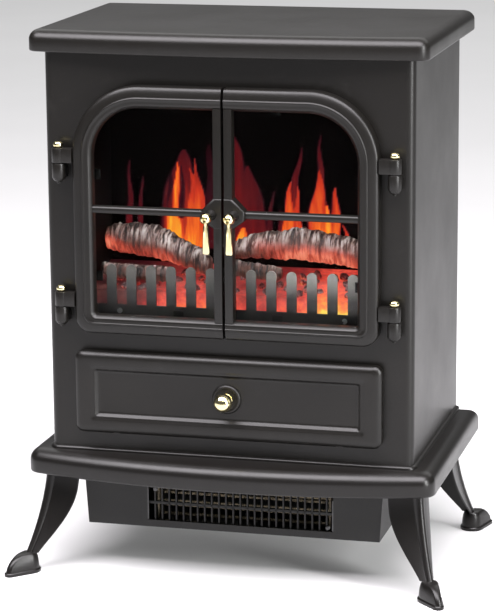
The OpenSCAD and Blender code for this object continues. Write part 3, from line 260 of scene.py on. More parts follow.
def metal_group():
    """Fine drawn lines and a thin tarnish of a bare metal."""
    tree, given, made = new_group(
        "Metal surface",
        [
            ("Vector", "NodeSocketVector", None),
            ("Colour", "NodeSocketColor", (0.6, 0.6, 0.6, 1)),
            ("Tarnish", "NodeSocketColor", (0.2, 0.2, 0.2, 1)),
            ("Roughness", "NodeSocketFloat", 0.3),
            ("Amount", "NodeSocketFloat", 0.3),
        ],
        [("Colour", "NodeSocketColor"), ("Roughness", "NodeSocketFloat"),
            ("Height", "NodeSocketFloat")],
    )
    stretched = node_of(tree, "ShaderNodeMapping", None, Vector=given.outputs["Vector"],
        Scale=(60.0, 1400.0, 1400.0))
    lines = node_of(tree, "ShaderNodeTexNoise", None, Vector=stretched.outputs[0], Scale=1.0,
        Detail=2.0)
    stain = node_of(tree, "ShaderNodeTexNoise", None, Vector=given.outputs["Vector"], Scale=120.0,
        Detail=5.0)
    mask = math_of(tree, "MULTIPLY", spread_of(tree, stain.outputs[0], 0.45, 0.75),
        given.outputs["Amount"])
    tone = mix_of(tree, mask, given.outputs["Colour"], given.outputs["Tarnish"])
    rough = math_of(tree, "ADD", given.outputs["Roughness"],
        spread_of(tree, stain.outputs[0], 0.3, 0.7, -0.05, 0.08))
    link_in(tree, tone, made.inputs["Colour"])
    link_in(tree, rough, made.inputs["Roughness"])
    link_in(tree, lines.outputs[0], made.inputs["Height"])
    return tree


def heat_group(gold):
    """Fire colours from a heat value between 0 and 1."""
    tree, given, made = new_group(
        "Heat colours",
        [("Heat", "NodeSocketFloat", 0.5)],
        [("Colour", "NodeSocketColor")],
    )
    tone = ramp_of(
        tree, given.outputs["Heat"],
        [
            (0.0, (0.0, 0.0, 0.0)), (0.16, (0.030, 0.004, 0.008)), (0.34, (0.14, 0.008, 0.010)),
            (0.55, (0.62, 0.040, 0.016)), (0.74, (0.95, 0.16, 0.02)), (0.90, tuple(gold)),
            (1.0, (1.0, 0.72, 0.08)),
        ],
    )
    link_in(tree, tone, made.inputs["Colour"])
    return tree


GROUPS = {}
FINISHES = {}


def new_material(name):
    """An empty material with its tree, its Principled shader and Object coordinates."""
    made = bpy.data.materials.new(name)
    made.use_nodes = True
    tree = made.node_tree
    shader = tree.nodes["Principled BSDF"]
    place = tree.nodes.new("ShaderNodeTexCoord").outputs["Object"]
    FINISHES[name] = made
    return tree, shader, place


def bump_in(tree, shader, height, strength, distance):
    """Bump from a height, in metres."""
    made = node_of(tree, "ShaderNodeBump", None, Strength=strength, Distance=distance,
        Height=height)
    link_in(tree, made.outputs[0], shader.inputs["Normal"])


def enamel(name, tint, roughness=0.36, peel=900.0, dust=0.02, wear=0.1, bump=0.10, specular=0.30):
    """Sprayed, enamelled or moulded black surface."""
    tree, shader, place = new_material(name)
    skin = node_of(
        tree, "ShaderNodeGroup", {"node_tree": GROUPS["enamel"]}, Vector=place, Colour=(*tint, 1.0),
        Peel_size=peel, Roughness=roughness, Dust=dust, Wear=wear,
    )
    link_in(tree, skin.outputs["Colour"], shader.inputs["Base Color"])
    link_in(tree, skin.outputs["Roughness"], shader.inputs["Roughness"])
    shader.inputs["Specular IOR Level"].default_value = specular
    bump_in(tree, shader, skin.outputs["Height"], bump, 0.0004)


def bare_metal(name, tint, tarnish, roughness=0.3, amount=0.3, bump=0.1):
    """Bare or polished metal."""
    tree, shader, place = new_material(name)
    skin = node_of(
        tree, "ShaderNodeGroup", {"node_tree": GROUPS["metal"]}, Vector=place, Colour=(*tint, 1.0),
        Tarnish=(*tarnish, 1.0), Roughness=roughness, Amount=amount,
    )
    link_in(tree, skin.outputs["Colour"], shader.inputs["Base Color"])
    link_in(tree, skin.outputs["Roughness"], shader.inputs["Roughness"])
    shader.inputs["Metallic"].default_value = 1.0
    bump_in(tree, shader, skin.outputs["Height"], bump, 0.0001)


def attribute_of(tree, name):
    """Value that a mesh holds for each of its points."""
    return node_of(tree, "ShaderNodeAttribute", {"attribute_name": name}).outputs["Fac"]


def flame_material():
    """Smoked screen with tongues of flame thrown on it from behind."""
    tree, shader, place = new_material("flames")
    heat = attribute_of(tree, "warmth")
    stretched = node_of(tree, "ShaderNodeMapping", None, Vector=place, Scale=(210.0, 1.0, 26.0))
    streak = node_of(tree, "ShaderNodeTexNoise", None, Vector=stretched.outputs[0], Scale=1.0,
        Detail=3.0)
    heat = math_of(tree, "MULTIPLY", heat, spread_of(tree, streak.outputs[0], 0.3, 0.7, 0.80, 1.10))
    glow = node_of(tree, "ShaderNodeGroup", {"node_tree": GROUPS["heat"]}, Heat=heat)
    link_in(tree, glow.outputs[0], shader.inputs["Emission Color"])
    shader.inputs["Emission Strength"].default_value = 1.0
    dark = mix_of(tree, streak.outputs[0], (0.0012, 0.0008, 0.0008), (0.003, 0.002, 0.002))
    link_in(tree, dark, shader.inputs["Base Color"])
    shader.inputs["Roughness"].default_value = 0.6
    shader.inputs["Specular IOR Level"].default_value = 0.02


def ember_material():
    """Translucent ember moulding lit from behind, with dark crusts."""
    tree, shader, place = new_material("embers")
    heat = attribute_of(tree, "warmth")
    crust = node_of(tree, "ShaderNodeTexNoise", None, Vector=place, Scale=150.0, Detail=6.0,
        Roughness=0.65)
    vein = node_of(tree, "ShaderNodeTexVoronoi", {"feature": "DISTANCE_TO_EDGE"}, Vector=place,
        Scale=95.0)
    open_vein = spread_of(tree, vein.outputs["Distance"], 0.0, 0.22, 1.04, 0.92)
    heat = math_of(tree, "MULTIPLY", heat, spread_of(tree, crust.outputs[0], 0.38, 0.62, 0.84,
        1.06))
    heat = math_of(tree, "MULTIPLY", heat, open_vein)
    glow = node_of(tree, "ShaderNodeGroup", {"node_tree": GROUPS["heat"]}, Heat=heat)
    pale = mix_of(tree, 0.30, glow.outputs[0], (0.80, 0.10, 0.12), "SCREEN")
    lit = mix_of(tree, spread_of(tree, heat, 0.25, 0.6), glow.outputs[0], pale)
    link_in(tree, lit, shader.inputs["Emission Color"])
    shader.inputs["Emission Strength"].default_value = 1.0
    tone = mix_of(tree, crust.outputs[0], (0.02, 0.012, 0.01), (0.20, 0.06, 0.04))
    link_in(tree, tone, shader.inputs["Base Color"])
    rough = spread_of(tree, crust.outputs[0], 0.3, 0.7, 0.45, 0.75)
    link_in(tree, rough, shader.inputs["Roughness"])
    bump_in(tree, shader, crust.outputs[0], 0.6, 0.0015)


def coal_material():
    """Loose coals: grey ash above and a red glow in the cracks and below."""
    tree, shader, place = new_material("coals")
    crust = node_of(tree, "ShaderNodeTexNoise", None, Vector=place, Scale=420.0, Detail=5.0,
        Roughness=0.7)
    normal = node_of(tree, "ShaderNodeNewGeometry").outputs["Normal"]
    up = node_of(tree, "ShaderNodeSeparateXYZ", None, Vector=normal).outputs["Z"]
    low = spread_of(tree, up, -0.5, 0.6, 0.95, 0.25)
    heat = math_of(tree, "MULTIPLY", low, spread_of(tree, crust.outputs[0], 0.36, 0.62, 0.45, 1.0))
    glow = node_of(tree, "ShaderNodeGroup", {"node_tree": GROUPS["heat"]}, Heat=heat)
    link_in(tree, glow.outputs[0], shader.inputs["Emission Color"])
    shader.inputs["Emission Strength"].default_value = 0.6
    tone = mix_of(tree, spread_of(tree, crust.outputs[0], 0.45, 0.6), (0.02, 0.016, 0.015),
        (0.20, 0.18, 0.17))
    link_in(tree, tone, shader.inputs["Base Color"])
    link_in(tree, spread_of(tree, crust.outputs[0], 0.3, 0.7, 0.6, 0.9), shader.inputs["Roughness"])
    bump_in(tree, shader, crust.outputs[0], 0.6, 0.001)


def bark_material(ash, char, glow):
    """Resin log: ash strokes on its top, brown below and a red glow where it is lit from inside, with painted light on
    the ash strokes as if lit from above.
    """
    tree, shader, place = new_material("bark")
    stroke_map = node_of(tree, "ShaderNodeMapping", None, Vector=place, Scale=(330.0, 60.0, 60.0))
    stroke = node_of(tree, "ShaderNodeTexNoise", None, Vector=stroke_map.outputs[0], Scale=1.0,
        Detail=4.0, Roughness=0.6)
    grain = node_of(tree, "ShaderNodeTexNoise", None, Vector=place, Scale=260.0, Detail=5.0)
    ridge = attribute_of(tree, "ridge")
    ash_mask = math_of(tree, "MULTIPLY", attribute_of(tree, "ash"),
        spread_of(tree, stroke.outputs[0], 0.46, 0.60))
    ash_mask = math_of(tree, "MULTIPLY", ash_mask, spread_of(tree, ridge, 0.25, 0.7, 0.35, 1.0),
        clamp=True)
    brown = mix_of(tree, grain.outputs[0], (0.060, 0.026, 0.018), (0.14, 0.055, 0.04))
    tone = mix_of(tree, spread_of(tree, stroke.outputs[0], 0.40, 0.52), char, brown)
    tone = mix_of(tree, ash_mask, tone, ash)
    link_in(tree, tone, shader.inputs["Base Color"])
    heat = attribute_of(tree, "warmth")
    lines = spread_of(tree, stroke.outputs[0], 0.36, 0.62, 0.62, 1.05)
    heat = math_of(tree, "MULTIPLY", heat, lines)
    lit = ramp_of(
        tree, heat,
        [
            (0.0, (0.0, 0.0, 0.0)), (0.25, (0.055, 0.010, 0.006)), (0.5, (0.30, 0.030, 0.018)),
            (0.75, (0.66, 0.10, 0.055)), (1.0, (0.85, 0.24, 0.14)),
        ],
    )
    # painted light: the ash strokes glow faintly, standing in for light falling on them from outside the glass
    painted_light = mix_of(tree, ash_mask, (0.0, 0.0, 0.0), (0.10, 0.095, 0.095))
    lit = mix_of(tree, 1.0, lit, painted_light, "ADD")
    link_in(tree, lit, shader.inputs["Emission Color"])
    shader.inputs["Emission Strength"].default_value = 0.9
    link_in(tree, spread_of(tree, grain.outputs[0], 0.3, 0.7, 0.5, 0.8), shader.inputs["Roughness"])
    bump_in(tree, shader, stroke.outputs[0], 0.7, 0.0012)


def fret_material():
    """Grey satin fret with painted light: a painted highlight and glow on its tips, stronger towards the right, fading
    to painted shade at its foot.
    """
    tree, shader, place = new_material("fret")
    low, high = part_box("fret")
    level = node_of(tree, "ShaderNodeSeparateXYZ", None, Vector=place).outputs["Z"]
    across = node_of(tree, "ShaderNodeSeparateXYZ", None, Vector=place).outputs["X"]
    grain = node_of(tree, "ShaderNodeTexNoise", None, Vector=place, Scale=420.0, Detail=3.0)
    # painted light mask: high at the tips and towards the right, low at the foot where painted shade falls
    mask = spread_of(tree, level, high.z - 0.027, high.z - 0.006)
    mask = math_of(tree, "MULTIPLY", mask, spread_of(tree, across, 0.0, high.x * 0.5, 0.34, 1.0))
    mask = math_of(tree, "MULTIPLY", mask, spread_of(tree, grain.outputs[0], 0.3, 0.7, 0.85, 1.0))
    # painted highlight on the tips over painted shade at the foot
    tone = mix_of(tree, mask, (0.006, 0.006, 0.0055), (0.15, 0.145, 0.135))
    link_in(tree, tone, shader.inputs["Base Color"])
    # painted glow on the tips, though the fret is no lamp
    painted_light = mix_of(tree, mask, (0.002, 0.002, 0.002), (0.11, 0.11, 0.10))
    link_in(tree, painted_light, shader.inputs["Emission Color"])
    shader.inputs["Emission Strength"].default_value = 0.7
    link_in(tree, spread_of(tree, grain.outputs[0], 0.3, 0.7, 0.34, 0.48),
        shader.inputs["Roughness"])
    bump_in(tree, shader, grain.outputs[0], 0.1, 0.0003)


def glass_material():
    """Clear tempered glass with faint smears."""
    tree, shader, place = new_material("glass")
    smear = node_of(tree, "ShaderNodeTexNoise", None, Vector=place, Scale=14.0, Detail=5.0)
    link_in(tree, mix_of(tree, smear.outputs[0], (0.93, 0.94, 0.93), (0.98, 0.99, 0.98)),
        shader.inputs["Base Color"])
    link_in(tree, spread_of(tree, smear.outputs[0], 0.5, 0.8, 0.0, 0.04),
        shader.inputs["Roughness"])
    shader.inputs["Transmission Weight"].default_value = 1.0
    shader.inputs["IOR"].default_value = 1.05


def lamp_material():
    """Frosted candle lamp, lit."""
    tree, shader, place = new_material("lamp")
    frost = node_of(tree, "ShaderNodeTexNoise", None, Vector=place, Scale=500.0, Detail=2.0)
    tone = mix_of(tree, frost.outputs[0], (0.80, 0.52, 0.25), (0.95, 0.70, 0.40))
    link_in(tree, tone, shader.inputs["Base Color"])
    link_in(tree, mix_of(tree, frost.outputs[0], (1.0, 0.32, 0.10), (1.0, 0.45, 0.18)),
        shader.inputs["Emission Color"])
    shader.inputs["Emission Strength"].default_value = 2.0
    shader.inputs["Roughness"].default_value = 0.45
    bump_in(tree, shader, frost.outputs[0], 0.2, 0.0002)


def make_materials(colours):
    """Every finish of the stove."""
    GROUPS["enamel"] = enamel_group()
    GROUPS["metal"] = metal_group()
    GROUPS["heat"] = heat_group(colours.gold)
    enamel("enamel", colours.enamel)
    enamel("moulding", colours.moulding, roughness=0.32, peel=700.0)
    enamel("heater", colours.heater, roughness=0.46, dust=0.0, wear=0.0)
    enamel("sheet", (0.0015, 0.0015, 0.0015), roughness=0.6, dust=0.0, wear=0.0, specular=0.1)
    enamel("rear", (0.014, 0.014, 0.014), roughness=0.52, peel=1500.0, bump=0.3)
    enamel("plastic", (0.010, 0.010, 0.010), roughness=0.42, peel=1800.0, bump=0.25, wear=0.0)
    enamel("rocker_red", (0.30, 0.012, 0.008), roughness=0.25, dust=0.02, wear=0.0, bump=0.04)
    enamel("magnet", (0.03, 0.028, 0.027), roughness=0.6, wear=0.05)
    enamel("porcelain", (0.62, 0.60, 0.55), roughness=0.3, dust=0.0, wear=0.0)
    enamel("mica", (0.36, 0.30, 0.20), roughness=0.5, dust=0.0, wear=0.0, bump=0.5)
    enamel("mark_white", (0.55, 0.55, 0.53), roughness=0.5, dust=0.0, wear=0.0)
    bare_metal("brass", colours.brass, (0.34, 0.24, 0.07), roughness=0.13, amount=0.18, bump=0.03)
    bare_metal("steel", (0.55, 0.55, 0.54), (0.20, 0.18, 0.16), roughness=0.32)
    bare_metal("dark_screw", (0.07, 0.07, 0.07), (0.03, 0.03, 0.03), roughness=0.4)
    bare_metal("galvanised", (0.48, 0.49, 0.50), (0.30, 0.31, 0.32), roughness=0.42, amount=0.8)
    bare_metal("aluminium", (0.78, 0.79, 0.80), (0.5, 0.5, 0.5), roughness=0.26, amount=0.4)
    bare_metal("motor", (0.32, 0.32, 0.33), (0.14, 0.13, 0.12), roughness=0.45, amount=0.5)
    flame_material()
    ember_material()
    coal_material()
    bark_material(colours.ash, colours.char, colours.glow)
    fret_material()
    glass_material()
    lamp_material()


# ---------------------------------------------------------------- mesh helpers


class Shell:
    """Points and faces of one piece while it is being made."""

    def __init__(self):
        self.points = []
        self.faces = []

    def add(self, points, faces):
        """Adds points and the faces between them."""
        start = len(self.points)
        self.points.extend(tuple(p) for p in points)
        self.faces.extend(tuple(start + i for i in f) for f in faces)

    def loft(self, rings, around=True, caps=(True, True), closed=False):
        """Skin over rings of equal count. Rings run round, and closed joins the last ring to the first."""
        count = len(rings[0])
        faces = []
        spans = len(rings) if closed else len(rings) - 1
        for i in range(spans):
            a, b = i * count, ((i + 1) % len(rings)) * count
            for j in range(count if around else count - 1):
                k = (j + 1) % count
                faces.append((a + j, a + k, b + k, b + j))
        if not closed and caps[0]:
            faces.append(tuple(reversed(range(count))))
        if not closed and caps[1]:
            last = (len(rings) - 1) * count
            faces.append(tuple(range(last, last + count)))
        self.add([p for ring in rings for p in ring], faces)

    def block(self, low, high, bevel=0.0):
        """Box with bevelled edges."""
        middle = (Vector(low) + Vector(high)) / 2
        size = Vector(high) - Vector(low)
        work = bmesh.new()
        bmesh.ops.create_cube(work, size=1.0)
        bmesh.ops.scale(work, vec=size, verts=work.verts)
        bmesh.ops.translate(work, vec=middle, verts=work.verts)
        if bevel:
            bmesh.ops.bevel(
                work, geom=work.edges[:], offset=bevel, segments=2, profile=0.6, affect="EDGES"
            )
        work.verts.index_update()
        self.add([v.co for v in work.verts], [[v.index for v in f.verts] for f in work.faces])
        work.free()

    def turned(self, axis, centre, profile, steps=40):
        """Shape turned on a lathe. The profile is (radius, place along the axis)."""
        rings = []
        for radius, along in profile:
            ring = []
            for i in range(steps):
                a = 2 * math.pi * i / steps
                c, s = max(radius, 1e-6) * math.cos(a), max(radius, 1e-6) * math.sin(a)
                local = {"X": (along, c, s), "Y": (c, along, s), "Z": (c, s, along)}[axis]
                ring.append(Vector(centre) + Vector(local))
            rings.append(ring)
        self.loft(rings)

    def mirrored(self):
        """The same shell on the other side of the stove."""
        made = Shell()
        made.points = [(-x, y, z) for x, y, z in self.points]
        made.faces = [tuple(reversed(f)) for f in self.faces]
        return made


def smooth(mesh, angle):
    """Smooth faces with hard edges over an angle."""
    mesh.polygons.foreach_set("use_smooth", [True] * len(mesh.polygons))
    mesh.set_sharp_from_angle(angle=math.radians(angle))


def finish_piece(name, shell, finish, body, stands_for=(), angle=32.0, values=None):
    """Makes the piece's object, with merged points, outward faces, its finish and its body."""
    mesh = bpy.data.meshes.new(name)
    mesh.from_pydata([tuple(p) for p in shell.points], [], shell.faces)
    if values:
        for key, numbers in values.items():
            layer = mesh.attributes.new(key, "FLOAT", "POINT")
            layer.data.foreach_set("value", np.asarray(numbers, float))
    work = bmesh.new()
    work.from_mesh(mesh)
    bmesh.ops.remove_doubles(work, verts=work.verts, dist=1e-6)
    bmesh.ops.dissolve_degenerate(work, edges=work.edges, dist=1e-7)
    bmesh.ops.recalc_face_normals(work, faces=work.faces)
    work.to_mesh(mesh)
    work.free()
    mesh.materials.append(FINISHES[finish])
    smooth(mesh, angle)
    piece = bpy.data.objects.new(name, mesh)
    bpy.context.scene.collection.objects.link(piece)
    return settle(piece, body, stands_for)


def settle(piece, body, stands_for=()):
    """Puts a piece on its body and hides the solids that it stands for."""
    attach(piece, body)
    if stands_for:
        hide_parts(*stands_for)
    return piece


def arc(cx, cy, r, a0, a1, n):
    """Points on an arc, angles in degrees."""
    turn = [math.radians(a0 + (a1 - a0) * i / n) for i in range(n + 1)]
    return [(cx + r * math.cos(a), cy + r * math.sin(a)) for a in turn]


def plan(half, front, back, bow, r):
    """Outline seen from above with a bowed front and rounded front corners."""
    big = (half * half + bow * bow) / (2 * bow)
    cy = front - bow + big
    ry = cy - math.sqrt((big - r) ** 2 - (half - r) ** 2)
    turn = math.degrees(math.atan2(half - r, cy - ry))
    rear = 0.0015
    return (
        arc(-half + rear, back - rear, rear, 90, 180, 3)
        + arc(-half + r, ry, r, 180, 270 - turn, 10)
        + arc(0, cy, big, 270 - turn, 270 + turn, 40)[1:-1]
        + arc(half - r, ry, r, 270 + turn, 360, 10)
        + arc(half - rear, back - rear, rear, 0, 90, 3)
    )


def plan_rings(low, high, bow, corner, profile):
    """Rings of a bowed moulding from a profile of (inset, height)."""
    rings = []
    for inset, z in profile:
        ring = plan(high.x - inset, low.y + bow + inset, high.y - inset, bow,
            max(corner - inset, 0.0008))
        rings.append([(x, y, z) for x, y in ring])
    return rings


def rounding(width, height, z_top, steps=8):
    """Quarter-round from the outer edge up to the top, as (inset, height)."""
    return [
        (width * (1 - math.cos(a)), z_top - height + height * math.sin(a))
        for a in (math.pi / 2 * i / steps for i in range(steps + 1))
    ]


def plate_with_holes(shell, outline, holes, y_front, y_back):
    """Upright sheet with holes, between two planes."""
    loops = [outline] + holes
    flat = [p for loop in loops for p in loop]
    triangles = tessellate_polygon([[Vector((x, z, 0)) for x, z in loop] for loop in loops])
    for y in (y_front, y_back):
        shell.add([(x, y, z) for x, z in flat], triangles)
    for loop in holes:
        shell.loft([[(x, y, z) for x, z in loop] for y in (y_front, y_back)], caps=(False, False))


def arched(half, z0, z1, top, low):
    """Upright outline with round top and bottom corners, as (x, z)."""
    return (
        arc(-half + low, z0 + low, low, 180, 270, 6)
        + arc(half - low, z0 + low, low, 270, 360, 6)
        + arc(half - top, z1 - top, top, 0, 90, 20)
        + arc(-half + top, z1 - top, top, 90, 180, 20)
    )


def islands(node):
    """Middle of each separate solid of a CAD node, from its lowest and highest corners."""
    work = bmesh.new()
    work.from_mesh(frame["nodes"][node].data)
    bmesh.ops.remove_doubles(work, verts=work.verts, dist=2e-5)
    seen, found = set(), []
    for start in work.verts:
        if start in seen:
            continue
        pile, members = [start], []
        seen.add(start)
        while pile:
            v = pile.pop()
            members.append(v.co.copy())
            for e in v.link_edges:
                other = e.other_vert(v)
                if other not in seen:
                    seen.add(other)
                    pile.append(other)
        low = Vector(min(c[i] for c in members) for i in range(3))
        high = Vector(max(c[i] for c in members) for i in range(3))
        found.append((low, high))
    work.free()
    return found


def cut_away(piece, cutter):
    """Cuts one mesh out of another and leaves a plain mesh."""
    knife = piece.modifiers.new("cut", "BOOLEAN")
    knife.operation = "DIFFERENCE"
    knife.solver = "EXACT"
    knife.object = cutter
    bpy.context.view_layer.update()
    seen = piece.evaluated_get(bpy.context.evaluated_depsgraph_get())
    made = bpy.data.meshes.new_from_object(seen)
    piece.modifiers.clear()
    piece.data = made
    bpy.data.objects.remove(cutter)


# ---------------------------------------------------------------- lid, base, casing


def make_lid(sizes):
    """Pressed lid with a rounded top edge, hollow underneath."""
    low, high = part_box("top_plate")
    r = sizes.lid_round
    wall, lip = 2 * MM, 34 * MM
    inner = [(r + wall, high.z - wall), (wall, high.z - r), (wall, low.z + wall),
        (lip, low.z + wall)]
    under = [(lip, low.z), (1.6 * MM, low.z), (0.5 * MM, low.z + 0.4 * MM), (0.0, low.z + 1.6 * MM)]
    profile = inner + under + rounding(r * 1.1, r, high.z)
    shell = Shell()
    shell.loft(plan_rings(low, high, sizes.lid_bow, sizes.lid_corner, profile))
    finish_piece("lid", shell, "enamel", STOVE, ["top_plate"], angle=50)


def make_base(sizes):
    """Base moulding with a rounded edge, open underneath, and a bead round the casing's foot."""
    low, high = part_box("base_plinth")
    deck = high.z - 1.2 * MM
    wall, lip = 2.5 * MM, 44 * MM
    profile = [
        (lip, deck - wall), (12 * MM, deck - wall), (wall, low.z + 8 * MM), (wall, low.z),
        (1.7 * MM, low.z), (0.6 * MM, low.z + 0.6 * MM), (0.0, low.z + 2.2 * MM),
    ] + rounding(sizes.base_round, sizes.base_round, deck) + [(lip, deck)]
    shell = Shell()
    shell.loft(plan_rings(low, high, sizes.base_bow, sizes.base_corner, profile), closed=True)
    c_low, c_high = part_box("casing")
    rings = []
    bead = 3.2 * MM
    for out, z in [(-1 * MM, deck - 0.4 * MM), (bead, deck - 0.4 * MM), (bead, deck + 1.0 * MM),
                   (bead * 0.75, deck + 2.4 * MM), (bead * 0.3, deck + 3.2 * MM),
                   (-1 * MM, deck + 3.4 * MM)]:
        half, front = c_high.x + out, c_low.y - out
        r = sizes.casing_corner + out
        ring = (
            [(-half, c_high.y)] + arc(-half + r, front + r, r, 180, 270, 8)
            + arc(half - r, front + r, r, 270, 360, 8) + [(half, c_high.y)]
        )
        rings.append([(x, y, z) for x, y in ring])
    count = len(rings[0])
    faces = [(a * count + j, a * count + j + 1, b * count + j + 1, b * count + j)
             for a, b in [(i, (i + 1) % len(rings)) for i in range(len(rings))] for j in range(count - 1)]
    faces += [tuple(i * count for i in range(len(rings))),
              tuple(i * count + count - 1 for i in reversed(range(len(rings))))]
    shell.add([p for ring in rings for p in ring], faces)
    finish_piece("base_moulding", shell, "moulding", STOVE, ["base_plinth"],
        angle=50)


def make_casing(sizes):
    """Folded sheet: the front with its two openings, round corners, sides and rear flanges."""
    low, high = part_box("casing")
    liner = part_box("firebox_liner")[1]
    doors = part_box("right_door")
    bay_low, bay_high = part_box("control_bay")
    t, r, flange = sizes.sheet, sizes.casing_corner, 12 * MM
    half, front, back = high.x, low.y, high.y
    x_in = half - r
    shell = Shell()
    x_flat = x_in - 1.5 * MM
    outline = [(-x_flat, low.z), (x_flat, low.z), (x_flat, high.z), (-x_flat, high.z)]
    open_half = liner.x - 9 * MM
    window = arched(open_half, doors[0].z + 14 * MM, liner.z - 3 * MM, sizes.door_top - 14 * MM,
        4 * MM)
    mouth = arched(bay_high.x - 1.5 * MM, bay_low.z + 1.5 * MM, bay_high.z - 1.5 * MM, 3 * MM,
        3 * MM)
    plate_with_holes(shell, outline, [window, mouth], front, front + t)
    outer = [(x_flat, front)] + arc(x_in, front + r, r, 270, 360,
        10) + [(half, front + r + 1.5 * MM), (half, back - 1 * MM), (half - 1 * MM, back),
        (half - flange, back)]
    inner = [(half - flange, back - t), (half - t, back - t)] + arc(x_in, front + r, r - t, 360,
        270, 10) + [(x_flat, front + t)]
    for side in (1, -1):
        rings = [[(side * x, y, z) for x, y in outer + inner] for z in (low.z, high.z)]
        shell.loft(rings)
    piece = finish_piece("casing_sheet", shell, "enamel", STOVE, ["casing"], angle=40)
    for face in piece.data.polygons:
        if max(abs(c) for c in face.normal) > 0.9999:
            face.use_smooth = False


# ---------------------------------------------------------------- legs and feet


def sweep_out(t):
    """How far a leg has swept out, from 0 at the base to 1 at the ankle."""
    return 0.35 * t + 0.65 * t * t


def leg_ring(web, wall, bead):
    """Angle section with a round bead along its corner and a crease each side of it."""
    sunk = 1.3 * MM
    ring = [(-web, -sunk - 0.6 * MM), (-web + 0.8 * MM, -sunk), (-2 * bead - 0.6 * MM, -sunk),
        (-2 * bead + 0.5 * MM, -sunk - 0.5 * MM)]
    ring += arc(-bead, -bead, bead, 135, -45, 12)
    ring += [(-sunk - 0.5 * MM, -2 * bead + 0.5 * MM), (-sunk, -2 * bead - 0.6 * MM),
        (-sunk, -web + 0.8 * MM), (-sunk - 0.6 * MM, -web)]
    ring += [(-sunk - wall, -web), (-sunk - wall, -sunk - wall - 3 * MM),
        (-sunk - wall - 3 * MM, -sunk - wall), (-web, -sunk - wall)]
    return ring


def make_legs(node, name, sy):
    """Two swept legs with a bead down the corner and webs that narrow in a curve to the ankle."""
    low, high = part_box(node)
    foot_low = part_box("feet")[1]
    toe_x, toe_y = foot_low.x, foot_low.y
    ankle = (toe_x - 15 * MM, toe_y - 26 * MM)
    z_top, z_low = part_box("base_plinth")[0].z, 19 * MM
    top = (191 * MM, toe_y - 51 * MM)
    steps = 26
    shell = Shell()
    rings = []
    for i in range(steps + 1):
        t = i / steps
        s = sweep_out(t)
        share = 1.0 if t < 0.22 else max(math.cos(math.pi / 2 * (t - 0.22) / 0.78), 0) ** 1.15
        web = (13 + 22 * share) * MM
        bead = (3.2 + 2.3 * (1 - t)) * MM
        cx, cy = top[0] + (ankle[0] - top[0]) * s, top[1] + (ankle[1] - top[1]) * s
        z = z_top + (z_low - z_top) * t
        rings.append([(cx + x, (cy + y), z) for x, y in leg_ring(web, 1.7 * MM, bead)])
    shell.loft(rings)
    both = Shell()
    for sx in (1, -1):
        flip = sx * sy
        faces = shell.faces if flip > 0 else [tuple(reversed(f)) for f in shell.faces]
        both.add([(sx * x, sy * y, z) for x, y, z in shell.points], faces)
    finish_piece(name, both, "moulding", STOVE, [node], angle=28)


def make_feet():
    """Moulded feet: a domed toe that runs up to the ankle, on a thin sole."""
    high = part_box("feet")[1]
    toe_r = 5.5 * MM
    heel = Vector((high.x - 18 * MM, high.y - 27 * MM))
    toe = Vector((high.x - toe_r, high.y - toe_r))
    shell = Shell()
    levels = [(0.0, -0.8, 0.0), (0.8, 0.0, 0.0), (3.0, 0.0, 0.0), (3.8, -0.7, 0.0),
        (3.9, -1.6, 0.0)]
    levels += [(3.9 + 15.6 * math.sin(a), -1.6 - 3.6 * (1 - math.cos(a)), 1 - math.cos(a))
               for a in (math.pi / 2 * i / 9 for i in range(1, 10))]
    rings = []
    for z, grow, back in levels:
        r_heel = 12 * MM + grow * MM
        r_toe = max(toe_r + grow * MM * (1 - 0.3 * back), 1.2 * MM)
        tip = toe.lerp(heel + Vector((2.5 * MM, 3.0 * MM)), back ** 0.8)
        r_toe = r_toe + (r_heel * 0.75 - r_toe) * back
        along = tip - heel
        facing = math.degrees(math.atan2(along.y, along.x))
        slope = math.degrees(math.asin(max(min((r_heel - r_toe) / max(along.length, 1e-5), 0.95),
            -0.95)))
        ring = arc(tip.x, tip.y, r_toe, facing - 90 + slope, facing + 90 - slope, 14)
        ring += arc(heel.x, heel.y, r_heel, facing + 90 - slope, facing + 270 + slope, 22)
        rings.append([(x, y, z * MM) for x, y in ring])
    shell.loft(rings)
    feet = Shell()
    for sx in (1, -1):
        for sy in (1, -1):
            faces = shell.faces if sx * sy > 0 else [tuple(reversed(f)) for f in shell.faces]
            feet.add([(sx * x, sy * y, z) for x, y, z in shell.points], faces)
    finish_piece("moulded_feet", feet, "moulding", STOVE, ["feet"], angle=38)


# ---------------------------------------------------------------- doors


def leaf_ring(x0, x1, z0, z1, top, low, depth, y_front):
    """Ring round a leaf from the meeting edge at the bottom to the meeting edge at the top."""
    ring = [(x0, z0)] + arc(x1 - low, z0 + low, low, 270, 360, 8) + arc(x1 - top, z1 - top, top, 0,
        90, 26) + [(x0, z1)]
    return [(x, y_front + depth, z) for x, z in ring]


